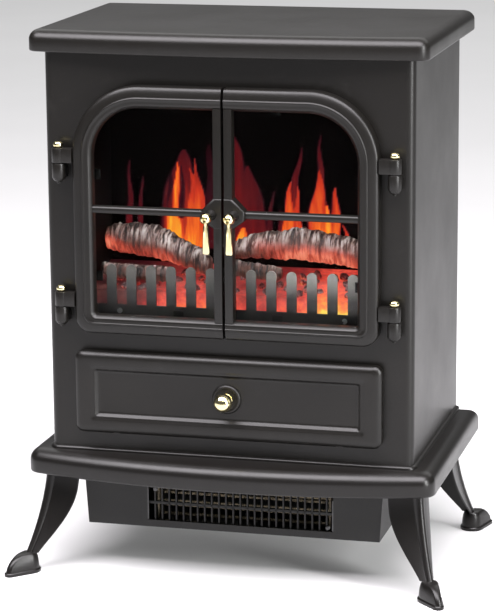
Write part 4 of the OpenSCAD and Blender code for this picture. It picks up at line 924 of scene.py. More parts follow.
def make_door(sizes, side):
    """One door leaf: a moulded frame, the meeting stile, the glazing bar and the handle boss."""
    name = "right" if side > 0 else "left"
    low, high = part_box("right_door")
    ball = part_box("right_handle_ball")
    bar_z = (ball[0].z + ball[1].z) / 2
    x0, x1, z0, z1, yf, yb = low.x, high.x, low.z, high.z, low.y, high.y
    depth = yb - yf
    stile, top_rail, low_rail, centre = 20 * MM, 21 * MM, 18.6 * MM, 8 * MM
    section = [
        (0, 17), (0, 6.2), (0.25, 5.1), (0.9, 4.1), (1.9, 3.3), (3.2, 2.65), (4.8, 2.1),
        (6.4, 1.75), (8.0, 1.5), (9.6, 1.35),
        (10.1, 0.55), (10.7, 0.12), (11.3, 0.0), (11.9, 0.2), (12.4, 0.6), (14.5, 0.65),
        (16.6, 0.7), (17.0, 0.95),
        (17.6, 1.5), (18.4, 2.4), (19.3, 3.5), (20, 4.8), (20, 12.4), (14.6, 12.4), (14.6, 17),
    ]
    shell = Shell()
    rings = []
    for across, deep in section:
        s = across / 20
        rings.append(leaf_ring(
            x0, x1 - stile * s, z0 + low_rail * s, z1 - top_rail * s,
            sizes.door_top - 20 * MM * s, sizes.door_low - 12.5 * MM * s, deep * depth / 17, yf,
        ))
    count = len(rings[0])
    faces = []
    for i in range(len(rings)):
        a, b = i * count, ((i + 1) % len(rings)) * count
        faces += [(a + j, a + j + 1, b + j + 1, b + j) for j in range(count - 1)]
    faces.append(tuple(i * count for i in reversed(range(len(rings)))))
    faces.append(tuple(i * count + count - 1 for i in range(len(rings))))
    shell.add([p for ring in rings for p in ring], faces)
    shell.block((x0, yf + 0.9 * MM, z0 + low_rail - 2 * MM),
        (x0 + centre, yf + 12.4 * MM, z1 - top_rail + 2 * MM), 0.7 * MM)
    shell.block((x0, yf + 12 * MM, z0 + low_rail - 2 * MM),
        (x0 + 2.6 * MM, yb, z1 - top_rail + 2 * MM))
    bar = [(-3.5, 11), (-3.5, 5.0), (-3.0, 4.1), (-2.2, 3.7), (1.2, 3.6), (2.4, 4.1), (3.2, 5.2),
        (3.5, 6.6), (3.5, 11)]
    bar_rings = [[(x, yf + d * MM, bar_z + z * MM) for z, d in bar] for x in (x0 + centre - 1 * MM,
        x1 - stile + 0.8 * MM)]
    shell.loft(bar_rings)
    boss = 20 * MM
    cut = [(0, -0.7), (centre / boss, -0.7), (1, -0.25), (1, 0.2), (centre / boss, 0.8), (0, 0.8)]
    for_boss = []
    for grow, deep in [(0, 12.4), (0, 2.4), (-0.4, 1.3), (-1.2, 0.6), (-2.4, 0.3)]:
        for_boss.append([(x0 + max(u * boss + (grow * MM if u > 0 else 0), 0.0), yf + deep * MM,
            bar_z + w * (boss + grow * MM)) for u, w in cut])
    shell.loft(for_boss, caps=(True, True))
    made = shell if side > 0 else shell.mirrored()
    finish_piece(f"{name}_door_frame", made, "enamel", f"{name}_door",
        [f"{name}_door"], angle=38)


def make_handle(side):
    """Brass ball on a turned stud, slotted underneath, and its grooved drop."""
    name = "right" if side > 0 else "left"
    low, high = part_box("right_handle_ball")
    x = (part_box("right_handle_drop")[0].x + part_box("right_handle_drop")[1].x) / 2
    z = (low.z + high.z) / 2
    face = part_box("right_door")[0].y
    r = (high.z - low.z) / 2
    y = low.y + r
    shell = Shell()
    globe = [(r * math.sin(a), -r * math.cos(a)) for a in (math.pi * i / 20 for i in range(20))]
    shell.turned("Y", (x, y, z), globe + [(1e-6, r * 0.97)], 36)
    stem = Shell()
    stem.turned("Y", (x, y, z), [(1e-6, r * 0.9), (2.2 * MM, r * 0.9), (2.1 * MM, r + 3 * MM),
        (2.5 * MM, r + 7 * MM), (4.0 * MM, r + 9.6 * MM),
                                 (5.2 * MM, face - y - 0.6 * MM), (5.2 * MM, face - y + 1.5 * MM),
                                 (1e-6, face - y + 1.5 * MM)], 36)
    finish_piece(f"{name}_handle_stem", stem if side > 0 else stem.mirrored(), "enamel",
        f"{name}_door", angle=50)
    made = shell if side > 0 else shell.mirrored()
    piece = finish_piece(f"{name}_handle_knob", made, "brass", f"{name}_door",
        [f"{name}_handle_ball"], angle=60)
    slot_shell = Shell()
    slot_shell.block((side * x - 1.45 * MM, y - r - 1 * MM, z - r - 1 * MM),
        (side * x + 1.45 * MM, y + 3.4 * MM, z + 2.4 * MM))
    knife = bpy.data.objects.new("slot", bpy.data.meshes.new("slot"))
    knife.data.from_pydata(slot_shell.points, [], slot_shell.faces)
    bpy.context.scene.collection.objects.link(knife)
    cut_away(piece, knife)
    smooth(piece.data, 50)

    d_low, d_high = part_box("right_handle_drop")
    top, bottom = z - r - 0.6 * MM, d_low.z
    drop = Shell()
    rings = []
    for t in [0.0, 0.05, 0.3, 0.6, 0.85, 0.95, 1.0]:
        half = (2.3 + 1.1 * t) * MM * (1.0 if 0.0 < t < 1.0 else 0.8)
        thick = 1.5 * MM * (1.0 if 0.0 < t < 1.0 else 0.7)
        groove = 0.55 * MM if 0.02 < t < 0.99 else 0.1 * MM
        zz = top + (bottom - top) * t
        ring = [(-half, thick * 0.6), (-half, -thick * 0.6), (-half * 0.82, -thick),
            (-half * 0.52, -thick), (-half * 0.3, -thick + groove),
                (half * 0.3, -thick + groove), (half * 0.52, -thick), (half * 0.82, -thick),
                (half, -thick * 0.6), (half, thick * 0.6), (half * 0.8, thick),
                (-half * 0.8, thick)]
        rings.append([(x + u, y + w, zz) for u, w in ring])
    drop.loft(rings)
    drop.block((x - 1.2 * MM, y - 1.2 * MM, z - r - 2 * MM),
        (x + 1.2 * MM, y + 1.2 * MM, z - 0.9 * MM), 0.3 * MM)
    drop.turned("X", (x, y, z), [(0.9 * MM, -1.25 * MM), (2.0 * MM, -1.25 * MM),
        (2.0 * MM, 1.25 * MM), (0.9 * MM, 1.25 * MM)], 24)
    made = drop if side > 0 else drop.mirrored()
    finish_piece(f"{name}_drop_pull", made, "brass", f"{name}_drop",
        [f"{name}_handle_drop"], angle=40)


def barrel(shell, x, y, z0, z1, r, soft=0.9 * MM):
    """Upright barrel with softened ends."""
    shell.turned("Z", (x, y, 0), [
        (1e-6, z0), (r - soft, z0), (r - soft * 0.3, z0 + soft * 0.3), (r, z0 + soft),
        (r, z1 - soft),
        (r - soft * 0.3, z1 - soft * 0.3), (r - soft, z1), (1e-6, z1)], 40)


def make_hinges():
    """Cast hinge halves and brass pins with turned heads."""
    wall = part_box("casing")[0].y
    pins = sorted(islands("hinge_pins"), key=lambda p: (p[0].x, p[0].z))
    fixed, brass = Shell(), Shell()
    arms = {1: Shell(), -1: Shell()}
    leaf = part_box("right_door")[1].x
    for low, high in [p for p in pins if p[1].z - p[0].z > 8 * MM] or pins:
        x, y = (low.x + high.x) / 2, (low.y + high.y) / 2
        side = 1 if x > 0 else -1
        joint = low.z + 13 * MM
        r, h = 6.5 * MM, 15 * MM
        barrel(fixed, x, y, joint - h, joint, r)
        fixed.turned("Z", (x, y, 0), [(1e-6, joint - h - 5 * MM), (1.4 * MM, joint - h - 5 * MM),
            (2.0 * MM, joint - h - 4.2 * MM),
                                     (2.0 * MM, joint - h - 3.2 * MM),
                                     (4.0 * MM, joint - h - 2.6 * MM),
                                     (5.4 * MM, joint - h - 1 * MM),
                                     (5.8 * MM, joint - h + 0.5 * MM),
                                     (1e-6, joint - h + 0.6 * MM)], 32)
        fixed.block((x - 5.8 * MM, y + 0.5 * MM, joint - h + 0.4 * MM),
            (x + 5.8 * MM, wall, joint - 0.5 * MM), 0.7 * MM)
        arm = arms[side]
        barrel(arm, x, y, joint + 0.4 * MM, joint + h, r)
        inner, outer = sorted((side * leaf, x))
        arm.block((inner, y - 5.3 * MM, joint + 0.8 * MM),
            (outer, y + 5.3 * MM, joint + h - 0.3 * MM), 0.8 * MM)
        top = joint + h + 0.4 * MM
        brass.turned("Z", (x, y, 0), [(1e-6, top - 2 * MM), (3.4 * MM, top - 0.05 * MM),
            (4.5 * MM, top + 0.9 * MM), (5.0 * MM, top + 2.4 * MM),
                                     (4.7 * MM, top + 3.9 * MM), (3.6 * MM, top + 5.2 * MM),
                                     (1.8 * MM, top + 5.9 * MM), (1e-6, top + 6.0 * MM)], 32)
    finish_piece("hinge_knuckles", fixed, "enamel", STOVE, ["hinge_brackets"],
        angle=35)
    finish_piece("pin_heads", brass, "brass", STOVE, ["hinge_pins"], angle=60)
    for side, name in ((1, "right"), (-1, "left")):
        finish_piece(f"{name}_door_hinges", arms[side], "enamel", f"{name}_door",
            [f"{name}_hinge_arms"], angle=35)


# ---------------------------------------------------------------- flap and knob


def make_flap(sizes):
    """Flap with round outer edges, a flat border, a bead and a sloped recess."""
    low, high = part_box("flap")
    half, z0, z1, yf, yb = high.x, low.z, high.z, low.y, high.y
    b = sizes.flap_border
    steps = [
        (0.0, yb - yf, 7.5), (0.0, 3.6 * MM, 7.5), (0.05, 2.2 * MM, 6.8), (0.13, 1.0 * MM, 6.2),
        (0.22, 0.3 * MM, 5.5), (0.32, 0.0, 5.0),
        (0.66, 0.0, 3.4), (0.70, 0.15 * MM, 3.2), (0.78, 1.05 * MM, 3.0), (0.84, 1.25 * MM, 2.8),
        (0.88, 1.3 * MM, 2.6),
        (0.97, 3.3 * MM, 2.3), (1.0, 3.9 * MM, 2.1), (1.06, 4.4 * MM, 2.0), (1.12, 4.5 * MM, 2.0),
    ]
    shell = Shell()
    rings = []
    for share, deep, r in steps:
        inset_x, inset_z = share * b * 1.2, share * b
        ring = arched(half - inset_x, z0 + inset_z, z1 - inset_z, r * MM, r * MM)
        rings.append([(x, yf + deep, z) for x, z in ring])
    shell.loft(rings)
    piece = finish_piece("flap_panel", shell, "enamel", "flap", ["flap"], angle=30)
    lugs = Shell()
    for l_low, l_high in islands("flap_lugs"):
        lugs.block((l_low.x - 0.5 * MM, l_low.y - 0.7 * MM, z0 - 1 * MM),
            (l_high.x + 0.5 * MM, yb + 1 * MM, l_high.z + 1.7 * MM))
    knife = bpy.data.objects.new("notches", bpy.data.meshes.new("notches"))
    knife.data.from_pydata(lugs.points, [], lugs.faces)
    bpy.context.scene.collection.objects.link(knife)
    cut_away(piece, knife)
    smooth(piece.data, 30)


def make_knob():
    """Round dished plate and the brass ball knob on its neck."""
    low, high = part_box("flap_rosette")
    x, z = 0.0, (low.z + high.z) / 2
    r, yf, yb = high.x, low.y, high.y
    plate = Shell()
    plate.turned("Y", (x, 0, z), [
        (1e-6, yb), (r, yb), (r, yb - 1.0 * MM), (r - 0.5 * MM, yb - 2.0 * MM),
        (r - 1.6 * MM, yf + 0.15 * MM), (r - 2.6 * MM, yf),
        (r - 3.6 * MM, yf + 0.5 * MM), (r - 4.6 * MM, yf + 0.9 * MM), (6 * MM, yf + 0.5 * MM),
        (1e-6, yf + 0.4 * MM)], 48)
    finish_piece("knob_plate", plate, "enamel", "flap", ["flap_rosette"], angle=40)
    k_low, k_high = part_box("flap_knob")
    r = k_high.x
    y = k_low.y + r
    knob = Shell()
    globe = [(r * math.sin(a), y - r * math.cos(a)) for a in (math.pi * i / 28 for i in range(24))]
    knob.turned("Y", (x, 0, z), globe + [(3.6 * MM, yf - 2.2 * MM), (4.2 * MM, yf - 1.2 * MM),
        (6.4 * MM, yf - 0.7 * MM), (6.6 * MM, yf + 0.2 * MM), (6.6 * MM, yf + 0.6 * MM),
        (1e-6, yf + 0.8 * MM)], 48)
    finish_piece("knob", knob, "brass", "flap", ["flap_knob"], angle=50)


# ---------------------------------------------------------------- fire

# Tongues of flame: foot (x, z), bend x, tip (x, z), half width, heat at the foot, heat at the tip, taper
TONGUES = [
    (-127, 322, -124, -125, 399, 3.6, 0.34, 0.22, 0.7),
    (-117, 322, -112, -113, 384, 3.0, 0.30, 0.22, 0.7),
    (-69, 318, -76, -68, 412, 23, 0.60, 0.26, 0.55),
    (-79, 318, -82, -72.5, 402, 10, 0.92, 0.80, 1.0),
    (-60, 318, -54, -62, 394, 12, 0.86, 0.50, 0.8), (-52, 318, -48, -58, 404, 6, 0.70, 0.44, 0.7),
    (-42, 318, -38, -42, 418, 8, 0.22, 0.12, 0.5), (-8, 312, -10, -16.5, 428, 20, 0.37, 0.27, 0.8),
    (4, 312, 4, -2, 398, 16, 0.34, 0.26, 0.6), (16, 312, 20, 22, 374, 3.6, 0.30, 0.20, 0.6),
    (27, 312, 30, 31, 356, 4.5, 0.36, 0.26, 0.6),
    (38, 312, 37, 41, 384, 8.5, 0.84, 0.60, 0.75), (43, 340, 42, 52, 418, 5.0, 0.44, 0.24, 0.6),
    (47, 312, 50, 46, 380, 5.0, 0.74, 0.52, 0.7),
    (72, 312, 66, 70.5, 396, 14.5, 0.80, 0.56, 0.75), (70, 330, 70, 71, 432, 6.5, 0.60, 0.20, 0.9),
    (82, 312, 86, 86.5, 380, 7.5, 0.90, 0.50, 0.6), (76, 316, 76, 78, 366, 8, 1.0, 0.70, 0.9),
    (-10, 318, -10, -9, 336, 6.5, 1.0, 0.80, 0.5),
    (97, 318, 99, 93, 342, 3.2, 0.60, 0.56, 0.6),
]
# Dark wedges between the tongues, in the same form without heat
WEDGES = [(-72, 345, -70, -70, 398, 3.4), (-84, 352, -84, -80, 396, 5.0),
    (78.5, 362, 79, 80, 388, 4.0)]


def tongue_mask(x, z, foot_x, foot_z, bend, tip_x, tip_z, half, taper=0.8):
    """How far inside a tongue a point lies, and its height share along it."""
    t = np.clip((z - foot_z) / (tip_z - foot_z), -0.2, 1.3)
    u = np.clip(t, 0, 1)
    middle = (1 - u) ** 2 * foot_x + 2 * u * (1 - u) * bend + u ** 2 * tip_x + 1.6 * np.sin(z * 0.13 + foot_x) * u
    width = half * np.maximum(1 - u, 0.0) ** taper * (1 + 0.15 * np.sin(3.1 * u)) + 0.4
    inside = 1 - np.abs(x - middle) / width
    return np.where((t > -0.05) & (t < 1.0), inside, -1.0), u


def flame_heat(x, z):
    """Heat of the flame picture at points given in millimetres."""
    heat = np.zeros_like(x)
    for fx, fz, bend, tx, tz, half, low_heat, top_heat, taper in TONGUES:
        inside, u = tongue_mask(x, z, fx, fz, bend, tx, tz, half, taper)
        value = low_heat + (top_heat - low_heat) * u ** 0.9
        value = value * (0.86 + 0.14 * np.clip(inside, 0, 1)) * np.clip(inside * 4.5, 0, 1) ** 0.8
        heat = np.maximum(heat, value)
    for fx, fz, bend, tx, tz, half in WEDGES:
        inside, u = tongue_mask(x, z, fx, fz, bend, tx, tz, half, 0.7)
        heat = heat * (1 - 0.62 * np.clip(inside * 1.6, 0, 1))
    return heat


def make_flames():
    """Smoked screen whose front carries the flame picture."""
    low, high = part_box("flame_screen")
    across, up = 210, 180
    xs = np.linspace(low.x, high.x, across)
    zs = np.linspace(low.z, high.z, up)
    shell = Shell()
    front = [(x, low.y, z) for z in zs for x in xs]
    faces = [(j * across + i, j * across + i + 1, (j + 1) * across + i + 1, (j + 1) * across + i)
             for j in range(up - 1) for i in range(across - 1)]
    shell.add(front, faces)
    edge = (list(range(across)) + [j * across + across - 1 for j in range(1, up)]
            + [(up - 1) * across + i for i in range(across - 2, -1,
                -1)] + [j * across for j in range(up - 2, 0, -1)])
    start = len(shell.points)
    shell.points.extend((front[i][0], high.y, front[i][2]) for i in edge)
    n = len(edge)
    shell.faces.extend((edge[i], start + i, start + (i + 1) % n,
        edge[(i + 1) % n]) for i in range(n))
    shell.faces.append(tuple(start + i for i in range(n)))
    p = np.array(shell.points) * 1000
    heat = flame_heat(p[:, 0], p[:, 2])
    heat[start:] = 0
    finish_piece("flame_screen_lit", shell, "flames", STOVE, ["flame_screen"],
        values={"warmth": heat})


def fire_row(x):
    """Heat along the fire's foot, at x in millimetres."""
    places = [-145, -112, -90, -70, -50, -30, -10, 10, 30, 50, 70, 90, 110, 145]
    values = [0.10, 0.18, 0.36, 0.58, 0.66, 0.68, 0.62, 0.54, 0.50, 0.60, 0.70, 1.0, 0.88, 0.72]
    return np.interp(x, places, values)


def make_ember_bed():
    """Ember moulding: a steep front and a lumpy bed that rises to the back."""
    low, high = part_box("ember_bed")
    fret_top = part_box("fret")[1].z
    shoulder = fret_top - 27 * MM
    across, rows = 220, 60
    front_steps = 16
    grid = []
    for j in range(rows):
        if j < front_steps:
            s = j / front_steps
            y, z = low.y + 3 * MM * s, low.z + (shoulder - low.z) * s
        else:
            s = (j - front_steps) / (rows - 1 - front_steps)
            y, z = low.y + 3 * MM + (high.y - low.y - 3 * MM) * s, shoulder + (high.z - shoulder) * s
        grid.append((y, z))
    skin = Shell()
    for side in (0, 1):
        for j, (y, z) in enumerate(grid):
            for i in range(across):
                x = low.x + (high.x - low.x) * i / (across - 1)
                lump = 0.0
                if side == 0 and j > 1 and 0 < i < across - 1 and j < rows - 1:
                    lump = noise.fractal(Vector((x * 70, y * 70, z * 70)), 1.0, 2.0, 3) * 1.6 * MM
                    lump = min(max(lump, -1.6 * MM),
                        1.2 * MM) if j > front_steps else min(max(lump, -0.6 * MM), 0.6 * MM)
                if side == 0:
                    skin.points.append((x, y + (0.6 * MM if j < front_steps else 0),
                        z + (lump if j >= front_steps else 0) - 0.2 * MM))
                else:
                    skin.points.append((x,
                        y + 3 * MM if j < front_steps else y + 1.5 * MM if j < rows - 1 else y,
                        z - (0.0 if j < front_steps else 3 * MM)))
    size = across * rows
    for j in range(rows - 1):
        for i in range(across - 1):
            a = j * across + i
            skin.faces.append((a, a + 1, a + across + 1, a + across))
            skin.faces.append((size + a + across, size + a + across + 1, size + a + 1, size + a))
    edge = (list(range(across)) + [j * across + across - 1 for j in range(1, rows)]
            + [(rows - 1) * across + i for i in range(across - 2, -1,
                -1)] + [j * across for j in range(rows - 2, 0, -1)])
    n = len(edge)
    skin.faces.extend((edge[(i + 1) % n], edge[i], size + edge[i],
        size + edge[(i + 1) % n]) for i in range(n))
    p = np.array(skin.points) * 1000
    heat = fire_row(p[:, 0])
    rise = np.clip((p[:, 2] - (fret_top * 1000 - 42)) / 24, 0, 1)
    heat = heat * (1.10 - 0.50 * rise)
    finish_piece("ember_moulding", skin, "embers", STOVE, ["ember_bed"],
        values={"warmth": heat}, angle=60)


def log_shell(rings_in, furrow, seed):
    """Bark-covered log through rings of (x, y, z, radius), with furrows across it, as a shell and its furrow values."""
    path = np.array(rings_in, float)
    path = path[np.argsort(path[:, 0])]
    steps, around = 150, 56
    xs = np.linspace(path[0, 0], path[-1, 0], steps)
    shell, rings, ridge = Shell(), [], []
    for x in xs:
        y, z, r = (np.interp(x, path[:, 0], path[:, k]) for k in (1, 2, 3))
        ring = []
        for j in range(around):
            a = 2 * math.pi * j / around
            at = Vector((x * 260, math.cos(a) * r * 42 + seed, math.sin(a) * r * 42))
            cut = noise.fractal(at, 0.9, 2.1, 3)
            knot = noise.noise(Vector((x * 28 + seed, math.cos(a) * 1.3, math.sin(a) * 1.3)))
            rr = r * (1 + 0.13 * knot) + furrow * cut - furrow
            ring.append((x, y + rr * math.cos(a), z + rr * math.sin(a)))
            ridge.append(0.5 + 0.5 * cut)
        rings.append(ring)
    shell.loft(rings)
    return shell, ridge


def blob(x, z, cx, cz, rx, rz):
    """Soft round patch in the front view, 1 at its middle."""
    return np.exp(-(((x - cx) / rx) ** 2 + ((z - cz) / rz) ** 2))


def spine(node):
    """Rings of (x, y, z, radius) along a log, read back from its solid in metres."""
    at = {}
    for v in frame["nodes"][node].data.vertices:
        at.setdefault(round(v.co.x, 4), []).append(v.co.copy())
    rings = []
    for x in sorted(at):
        ys, zs = [c.y for c in at[x]], [c.z for c in at[x]]
        rings.append((x, (min(ys) + max(ys)) / 2, (min(zs) + max(zs)) / 2, (max(zs) - min(zs)) / 2))
    return rings


def make_logs(sizes):
    """Left log, right log and the two thin logs in front, with ash on top and a red glow below."""
    for node, name, seed in (("log_left", "left_log", 3.0), ("log_right", "right_log", 11.0)):
        shell, ridge = log_shell(spine(node), sizes.bark_depth, seed)
        p = np.array(shell.points) * 1000
        x, z = p[:, 0], p[:, 2]
        rings = np.array(spine(node)) * 1000
        mid = np.interp(x, rings[:, 0], rings[:, 2])
        r = np.interp(x, rings[:, 0], rings[:, 3])
        up = (z - mid) / r
        ash = np.clip((up + 0.05) / 0.55, 0, 1)
        heat = np.clip((0.25 - up) / 1.1, 0, 1)
        if node == "log_left":
            heat = heat * (0.35 + 0.35 * blob(x, z, -52, 296, 22, 14)) + 0.80 * blob(x, z, -134,
                325, 16, 9) + 0.40 * blob(x, z, -100, 318, 24, 8) + 0.55 * blob(x, z, -72, 310, 13,
                12)
            ash = ash * (1 - blob(x, z, -134, 330, 16, 12)) * (1 - 0.8 * blob(x, z, -56, 341, 11,
                9))
        else:
            heat = heat * 0.35 + 1.0 * blob(x, z, 66, 318, 27, 14) + 0.75 * blob(x, z, 104, 314, 16,
                16) + 0.45 * blob(x, z, 24, 330, 18, 7)
            ash = ash * (1 - 0.75 * blob(x, z, 66, 322, 28, 14)) + 0.5 * blob(x, z, 5, 330, 12, 8)
        finish_piece(name, shell, "bark", STOVE, [node], angle=70,
                     values={"ash": np.clip(ash, 0, 1), "warmth": np.clip(heat, 0, 1),
                         "ridge": ridge})
    both, ash, heat, ridge_all = Shell(), [], [], []
    solids = [[(x, y, z, r) for x, y, z,
        r in spine("front_logs") if (x < -0.03) == left] for left in (True, False)]
    for k, rings in enumerate(solids):
        shell, ridge = log_shell(rings, sizes.bark_depth * 0.7, 21.0 + 7 * k)
        p = np.array(shell.points) * 1000
        line = np.array(rings) * 1000
        up = (p[:, 2] - np.interp(p[:, 0], line[:, 0], line[:, 2])) / np.interp(p[:, 0], line[:, 0],
            line[:, 3])
        ash.extend(np.clip((up - 0.55) / 0.3, 0, 1) * (1.0 if k == 0 else 0.7))
        heat.extend(np.clip((-0.2 - up), 0, 1) * 0.35)
        ridge_all.extend(ridge)
        both.add(shell.points, shell.faces)
    finish_piece("thin_logs", both, "bark", STOVE, ["front_logs"], angle=70,
                 values={"ash": ash, "warmth": heat, "ridge": ridge_all})


# ---------------------------------------------------------------- geometry nodes for what repeats


class RepeatTree:
    """A geometry node tree that repeats a shape along X and ends in a plain mesh with one finish."""

    def __init__(self, name, inputs):
        self.tree = bpy.data.node_groups.new(name, "GeometryNodeTree")
        self.ids = {}
        for label, kind, default in inputs:
            socket = self.tree.interface.new_socket(name=label, in_out="INPUT", socket_type=kind)
            socket.default_value = default
            self.ids[label] = socket.identifier
        self.tree.interface.new_socket(name="Geometry", in_out="OUTPUT",
            socket_type="NodeSocketGeometry")
        self.given = self.tree.nodes.new("NodeGroupInput")
        self.out = self.tree.nodes.new("NodeGroupOutput")

    def node(self, kind, settings=None, **inputs):
        """A node of the tree."""
        return node_of(self.tree, kind, settings, **inputs)

    def end(self, geometry, finish):
        """Realizes the instances and sets the finish."""
        real = self.node("GeometryNodeRealizeInstances", None, Geometry=geometry)
        done = self.node("GeometryNodeSetMaterial", None, Geometry=real.outputs[0])
        done.inputs["Material"].default_value = FINISHES[finish]
        self.tree.links.new(done.outputs[0], self.out.inputs[0])

    def made(self, name, values, body, slot, stands_for=(), angle=35):
        """Runs the tree on an empty mesh and leaves a plain piece on its body."""
        piece = bpy.data.objects.new(name, bpy.data.meshes.new(name))
        bpy.context.scene.collection.objects.link(piece)
        run = piece.modifiers.new("repeat", "NODES")
        run.node_group = self.tree
        for label, value in values.items():
            run[self.ids[label]] = value
        bpy.context.view_layer.update()
        seen = piece.evaluated_get(bpy.context.evaluated_depsgraph_get())
        mesh = bpy.data.meshes.new_from_object(seen)
        piece.modifiers.clear()
        piece.data = mesh
        smooth(mesh, angle)
        return settle(piece, body, stands_for)


def point_cloud(tree, count, start, step):
    """Points in a line."""
    line = tree.node("GeometryNodeMeshLine", {"mode": "OFFSET"}, Count=count, Start_Location=start,
        Offset=step)
    return line.outputs[0]


def vector_of(tree, x, y, z):
    """A vector from three values."""
    return tree.node("ShaderNodeCombineXYZ", None, X=x, Y=y, Z=z).outputs[0]


def bars_tree(name, finish):
    """Upright bars at an even pitch along X."""
    made = RepeatTree(name, [
        ("Count", "NodeSocketInt", 5), ("First", "NodeSocketVector", (0, 0, 0)),
        ("Pitch", "NodeSocketFloat", 0.01),
        ("Bar size", "NodeSocketVector", (0.001, 0.001, 0.01)),
    ])
    step = vector_of(made, made.given.outputs["Pitch"], 0.0, 0.0)
    points = point_cloud(made, made.given.outputs["Count"], made.given.outputs["First"], step)
    bar = made.node("GeometryNodeMeshCube", None, Size=made.given.outputs["Bar size"])
    spread = made.node("GeometryNodeInstanceOnPoints", None, Points=points, Instance=bar.outputs[0])
    made.end(spread.outputs[0], finish)
    return made


def make_fret():
    """Fret: a rail with round-topped bars, repeated by a node tree."""
    low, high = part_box("fret")
    low.x, high.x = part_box("ember_bed")[0].x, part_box("ember_bed")[1].x
    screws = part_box("fret_screws")
    pitch = (screws[1].x - screws[0].x - 5.2 * MM) / 2 / 5.6
    rail_top = (screws[0].z + screws[1].z) / 2 + 6 * MM
    t = high.y - low.y
    tree = RepeatTree("Fret bars", [
        ("Count", "NodeSocketInt", 13), ("Pitch", "NodeSocketFloat", pitch),
        ("Half width", "NodeSocketFloat", 0.0049),
        ("Height", "NodeSocketFloat", 0.04), ("Thickness", "NodeSocketFloat", t),
        ("Rail half", "NodeSocketFloat", high.x),
        ("Rail height", "NodeSocketFloat", 0.04), ("Place", "NodeSocketVector", (0, 0, 0)),
    ])
    g = tree.given.outputs
    n = tree.node
    half, height = g["Half width"], g["Height"]
    shank_h = math_of(tree.tree, "SUBTRACT", height, half)
    shank = n("GeometryNodeMeshCube", None, Size=vector_of(tree, math_of(tree.tree, "MULTIPLY",
        half, 2.0), g["Thickness"], shank_h))
    shank = n("GeometryNodeTransform", None, Geometry=shank.outputs[0],
        Translation=vector_of(tree, 0.0, 0.0, math_of(tree.tree, "MULTIPLY", shank_h, 0.5)))
    tip = n("GeometryNodeMeshCylinder", None, Vertices=28, Radius=half, Depth=g["Thickness"])
    tip = n("GeometryNodeTransform", None, Geometry=tip.outputs[0],
        Translation=vector_of(tree, 0.0, 0.0, shank_h), Rotation=(math.pi / 2, 0, 0))
    bar = n("GeometryNodeJoinGeometry")
    tree.tree.links.new(shank.outputs[0], bar.inputs[0])
    tree.tree.links.new(tip.outputs[0], bar.inputs[0])
    span = math_of(tree.tree, "MULTIPLY", math_of(tree.tree, "SUBTRACT", g["Count"], 1.0),
        g["Pitch"])
    first = vector_of(tree, math_of(tree.tree, "MULTIPLY", span, -0.5), 0.0, 0.0)
    points = point_cloud(tree, g["Count"], first, vector_of(tree, g["Pitch"], 0.0, 0.0))
    bars = n("GeometryNodeInstanceOnPoints", None, Points=points, Instance=bar.outputs[0])
    rail = n("GeometryNodeMeshCube", None, Size=vector_of(tree, math_of(tree.tree, "MULTIPLY",
        g["Rail half"], 2.0), g["Thickness"], g["Rail height"]))
    rail = n("GeometryNodeTransform", None, Geometry=rail.outputs[0],
        Translation=vector_of(tree, 0.0, 0.0,
            math_of(tree.tree, "MULTIPLY", g["Rail height"], -0.5)))
    whole = n("GeometryNodeJoinGeometry")
    tree.tree.links.new(bars.outputs[0], whole.inputs[0])
    tree.tree.links.new(rail.outputs[0], whole.inputs[0])
    place = n("GeometryNodeTransform", None, Geometry=whole.outputs[0], Translation=g["Place"])
    tree.end(place.outputs[0], "fret")
    tree.made("fret_comb", {
        "Count": 13, "Pitch": pitch, "Half width": 4.9 * MM, "Height": high.z - rail_top,
        "Thickness": t, "Rail half": high.x,
        "Rail height": rail_top - low.z, "Place": (0.0, (low.y + high.y) / 2, rail_top),
    }, STOVE, "fret_black", ["fret"])


def make_grille():
    """Outlet grille: a frame, a row of thin upright bars and one cross rib."""
    low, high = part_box("outlet_grille")
    border = 3 * MM
    bars = bars_tree("Grille bars", "heater")
    count = 25
    pitch = (high.x - low.x - 2 * border) / (count + 1)
    middle = (low.y + high.y) / 2
    bars.made("grille_bars", {
        "Count": count, "First": (low.x + border + pitch, middle, (low.z + high.z) / 2),
        "Pitch": pitch,
        "Bar size": (1.5 * MM, 4 * MM, high.z - low.z - 2 * border),
    }, STOVE, "heater_black", ["outlet_grille"])
    shell = Shell()
    for a, b in (((low.x, low.y, low.z), (high.x, high.y, low.z + border)),
            ((low.x, low.y, high.z - border), (high.x, high.y, high.z)),
                 ((low.x, low.y, low.z), (low.x + border, high.y, high.z)),
                 ((high.x - border, low.y, low.z), (high.x, high.y, high.z))):
        shell.block(a, b, 0.4 * MM)
    rib = (low.z + high.z) / 2
    shell.block((low.x + border, low.y + 1 * MM, rib - 1.4 * MM),
        (high.x - border, high.y - 1 * MM, rib + 1.4 * MM), 0.3 * MM)
    finish_piece("grille_frame", shell, "heater", STOVE)
    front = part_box("heater_housing")[0].y + 4 * MM
    edges = Shell()
    for x, z0, z1 in ((low.x + 2.2 * MM, low.z + 3.5 * MM, high.z - 3.5 * MM),
            (high.x - 4.4 * MM, low.z + 3.5 * MM, high.z - 6 * MM)):
        edges.block((x, front + 0.2 * MM, z0), (x + 2.2 * MM, front + 2.6 * MM, z1), 0.5 * MM)
    for x, z in ((low.x + 11 * MM, high.z - 6.5 * MM), (high.x - 9 * MM, low.z + 6.5 * MM)):
        edges.turned("Y", (x, 0, z), [(1e-6, front + 3.4 * MM), (2.6 * MM, front + 3.4 * MM),
            (2.6 * MM, front + 1.6 * MM), (1.8 * MM, front + 0.8 * MM), (1e-6, front + 0.6 * MM)],
            20)
    finish_piece("grille_edges", edges, "dark_screw", STOVE)


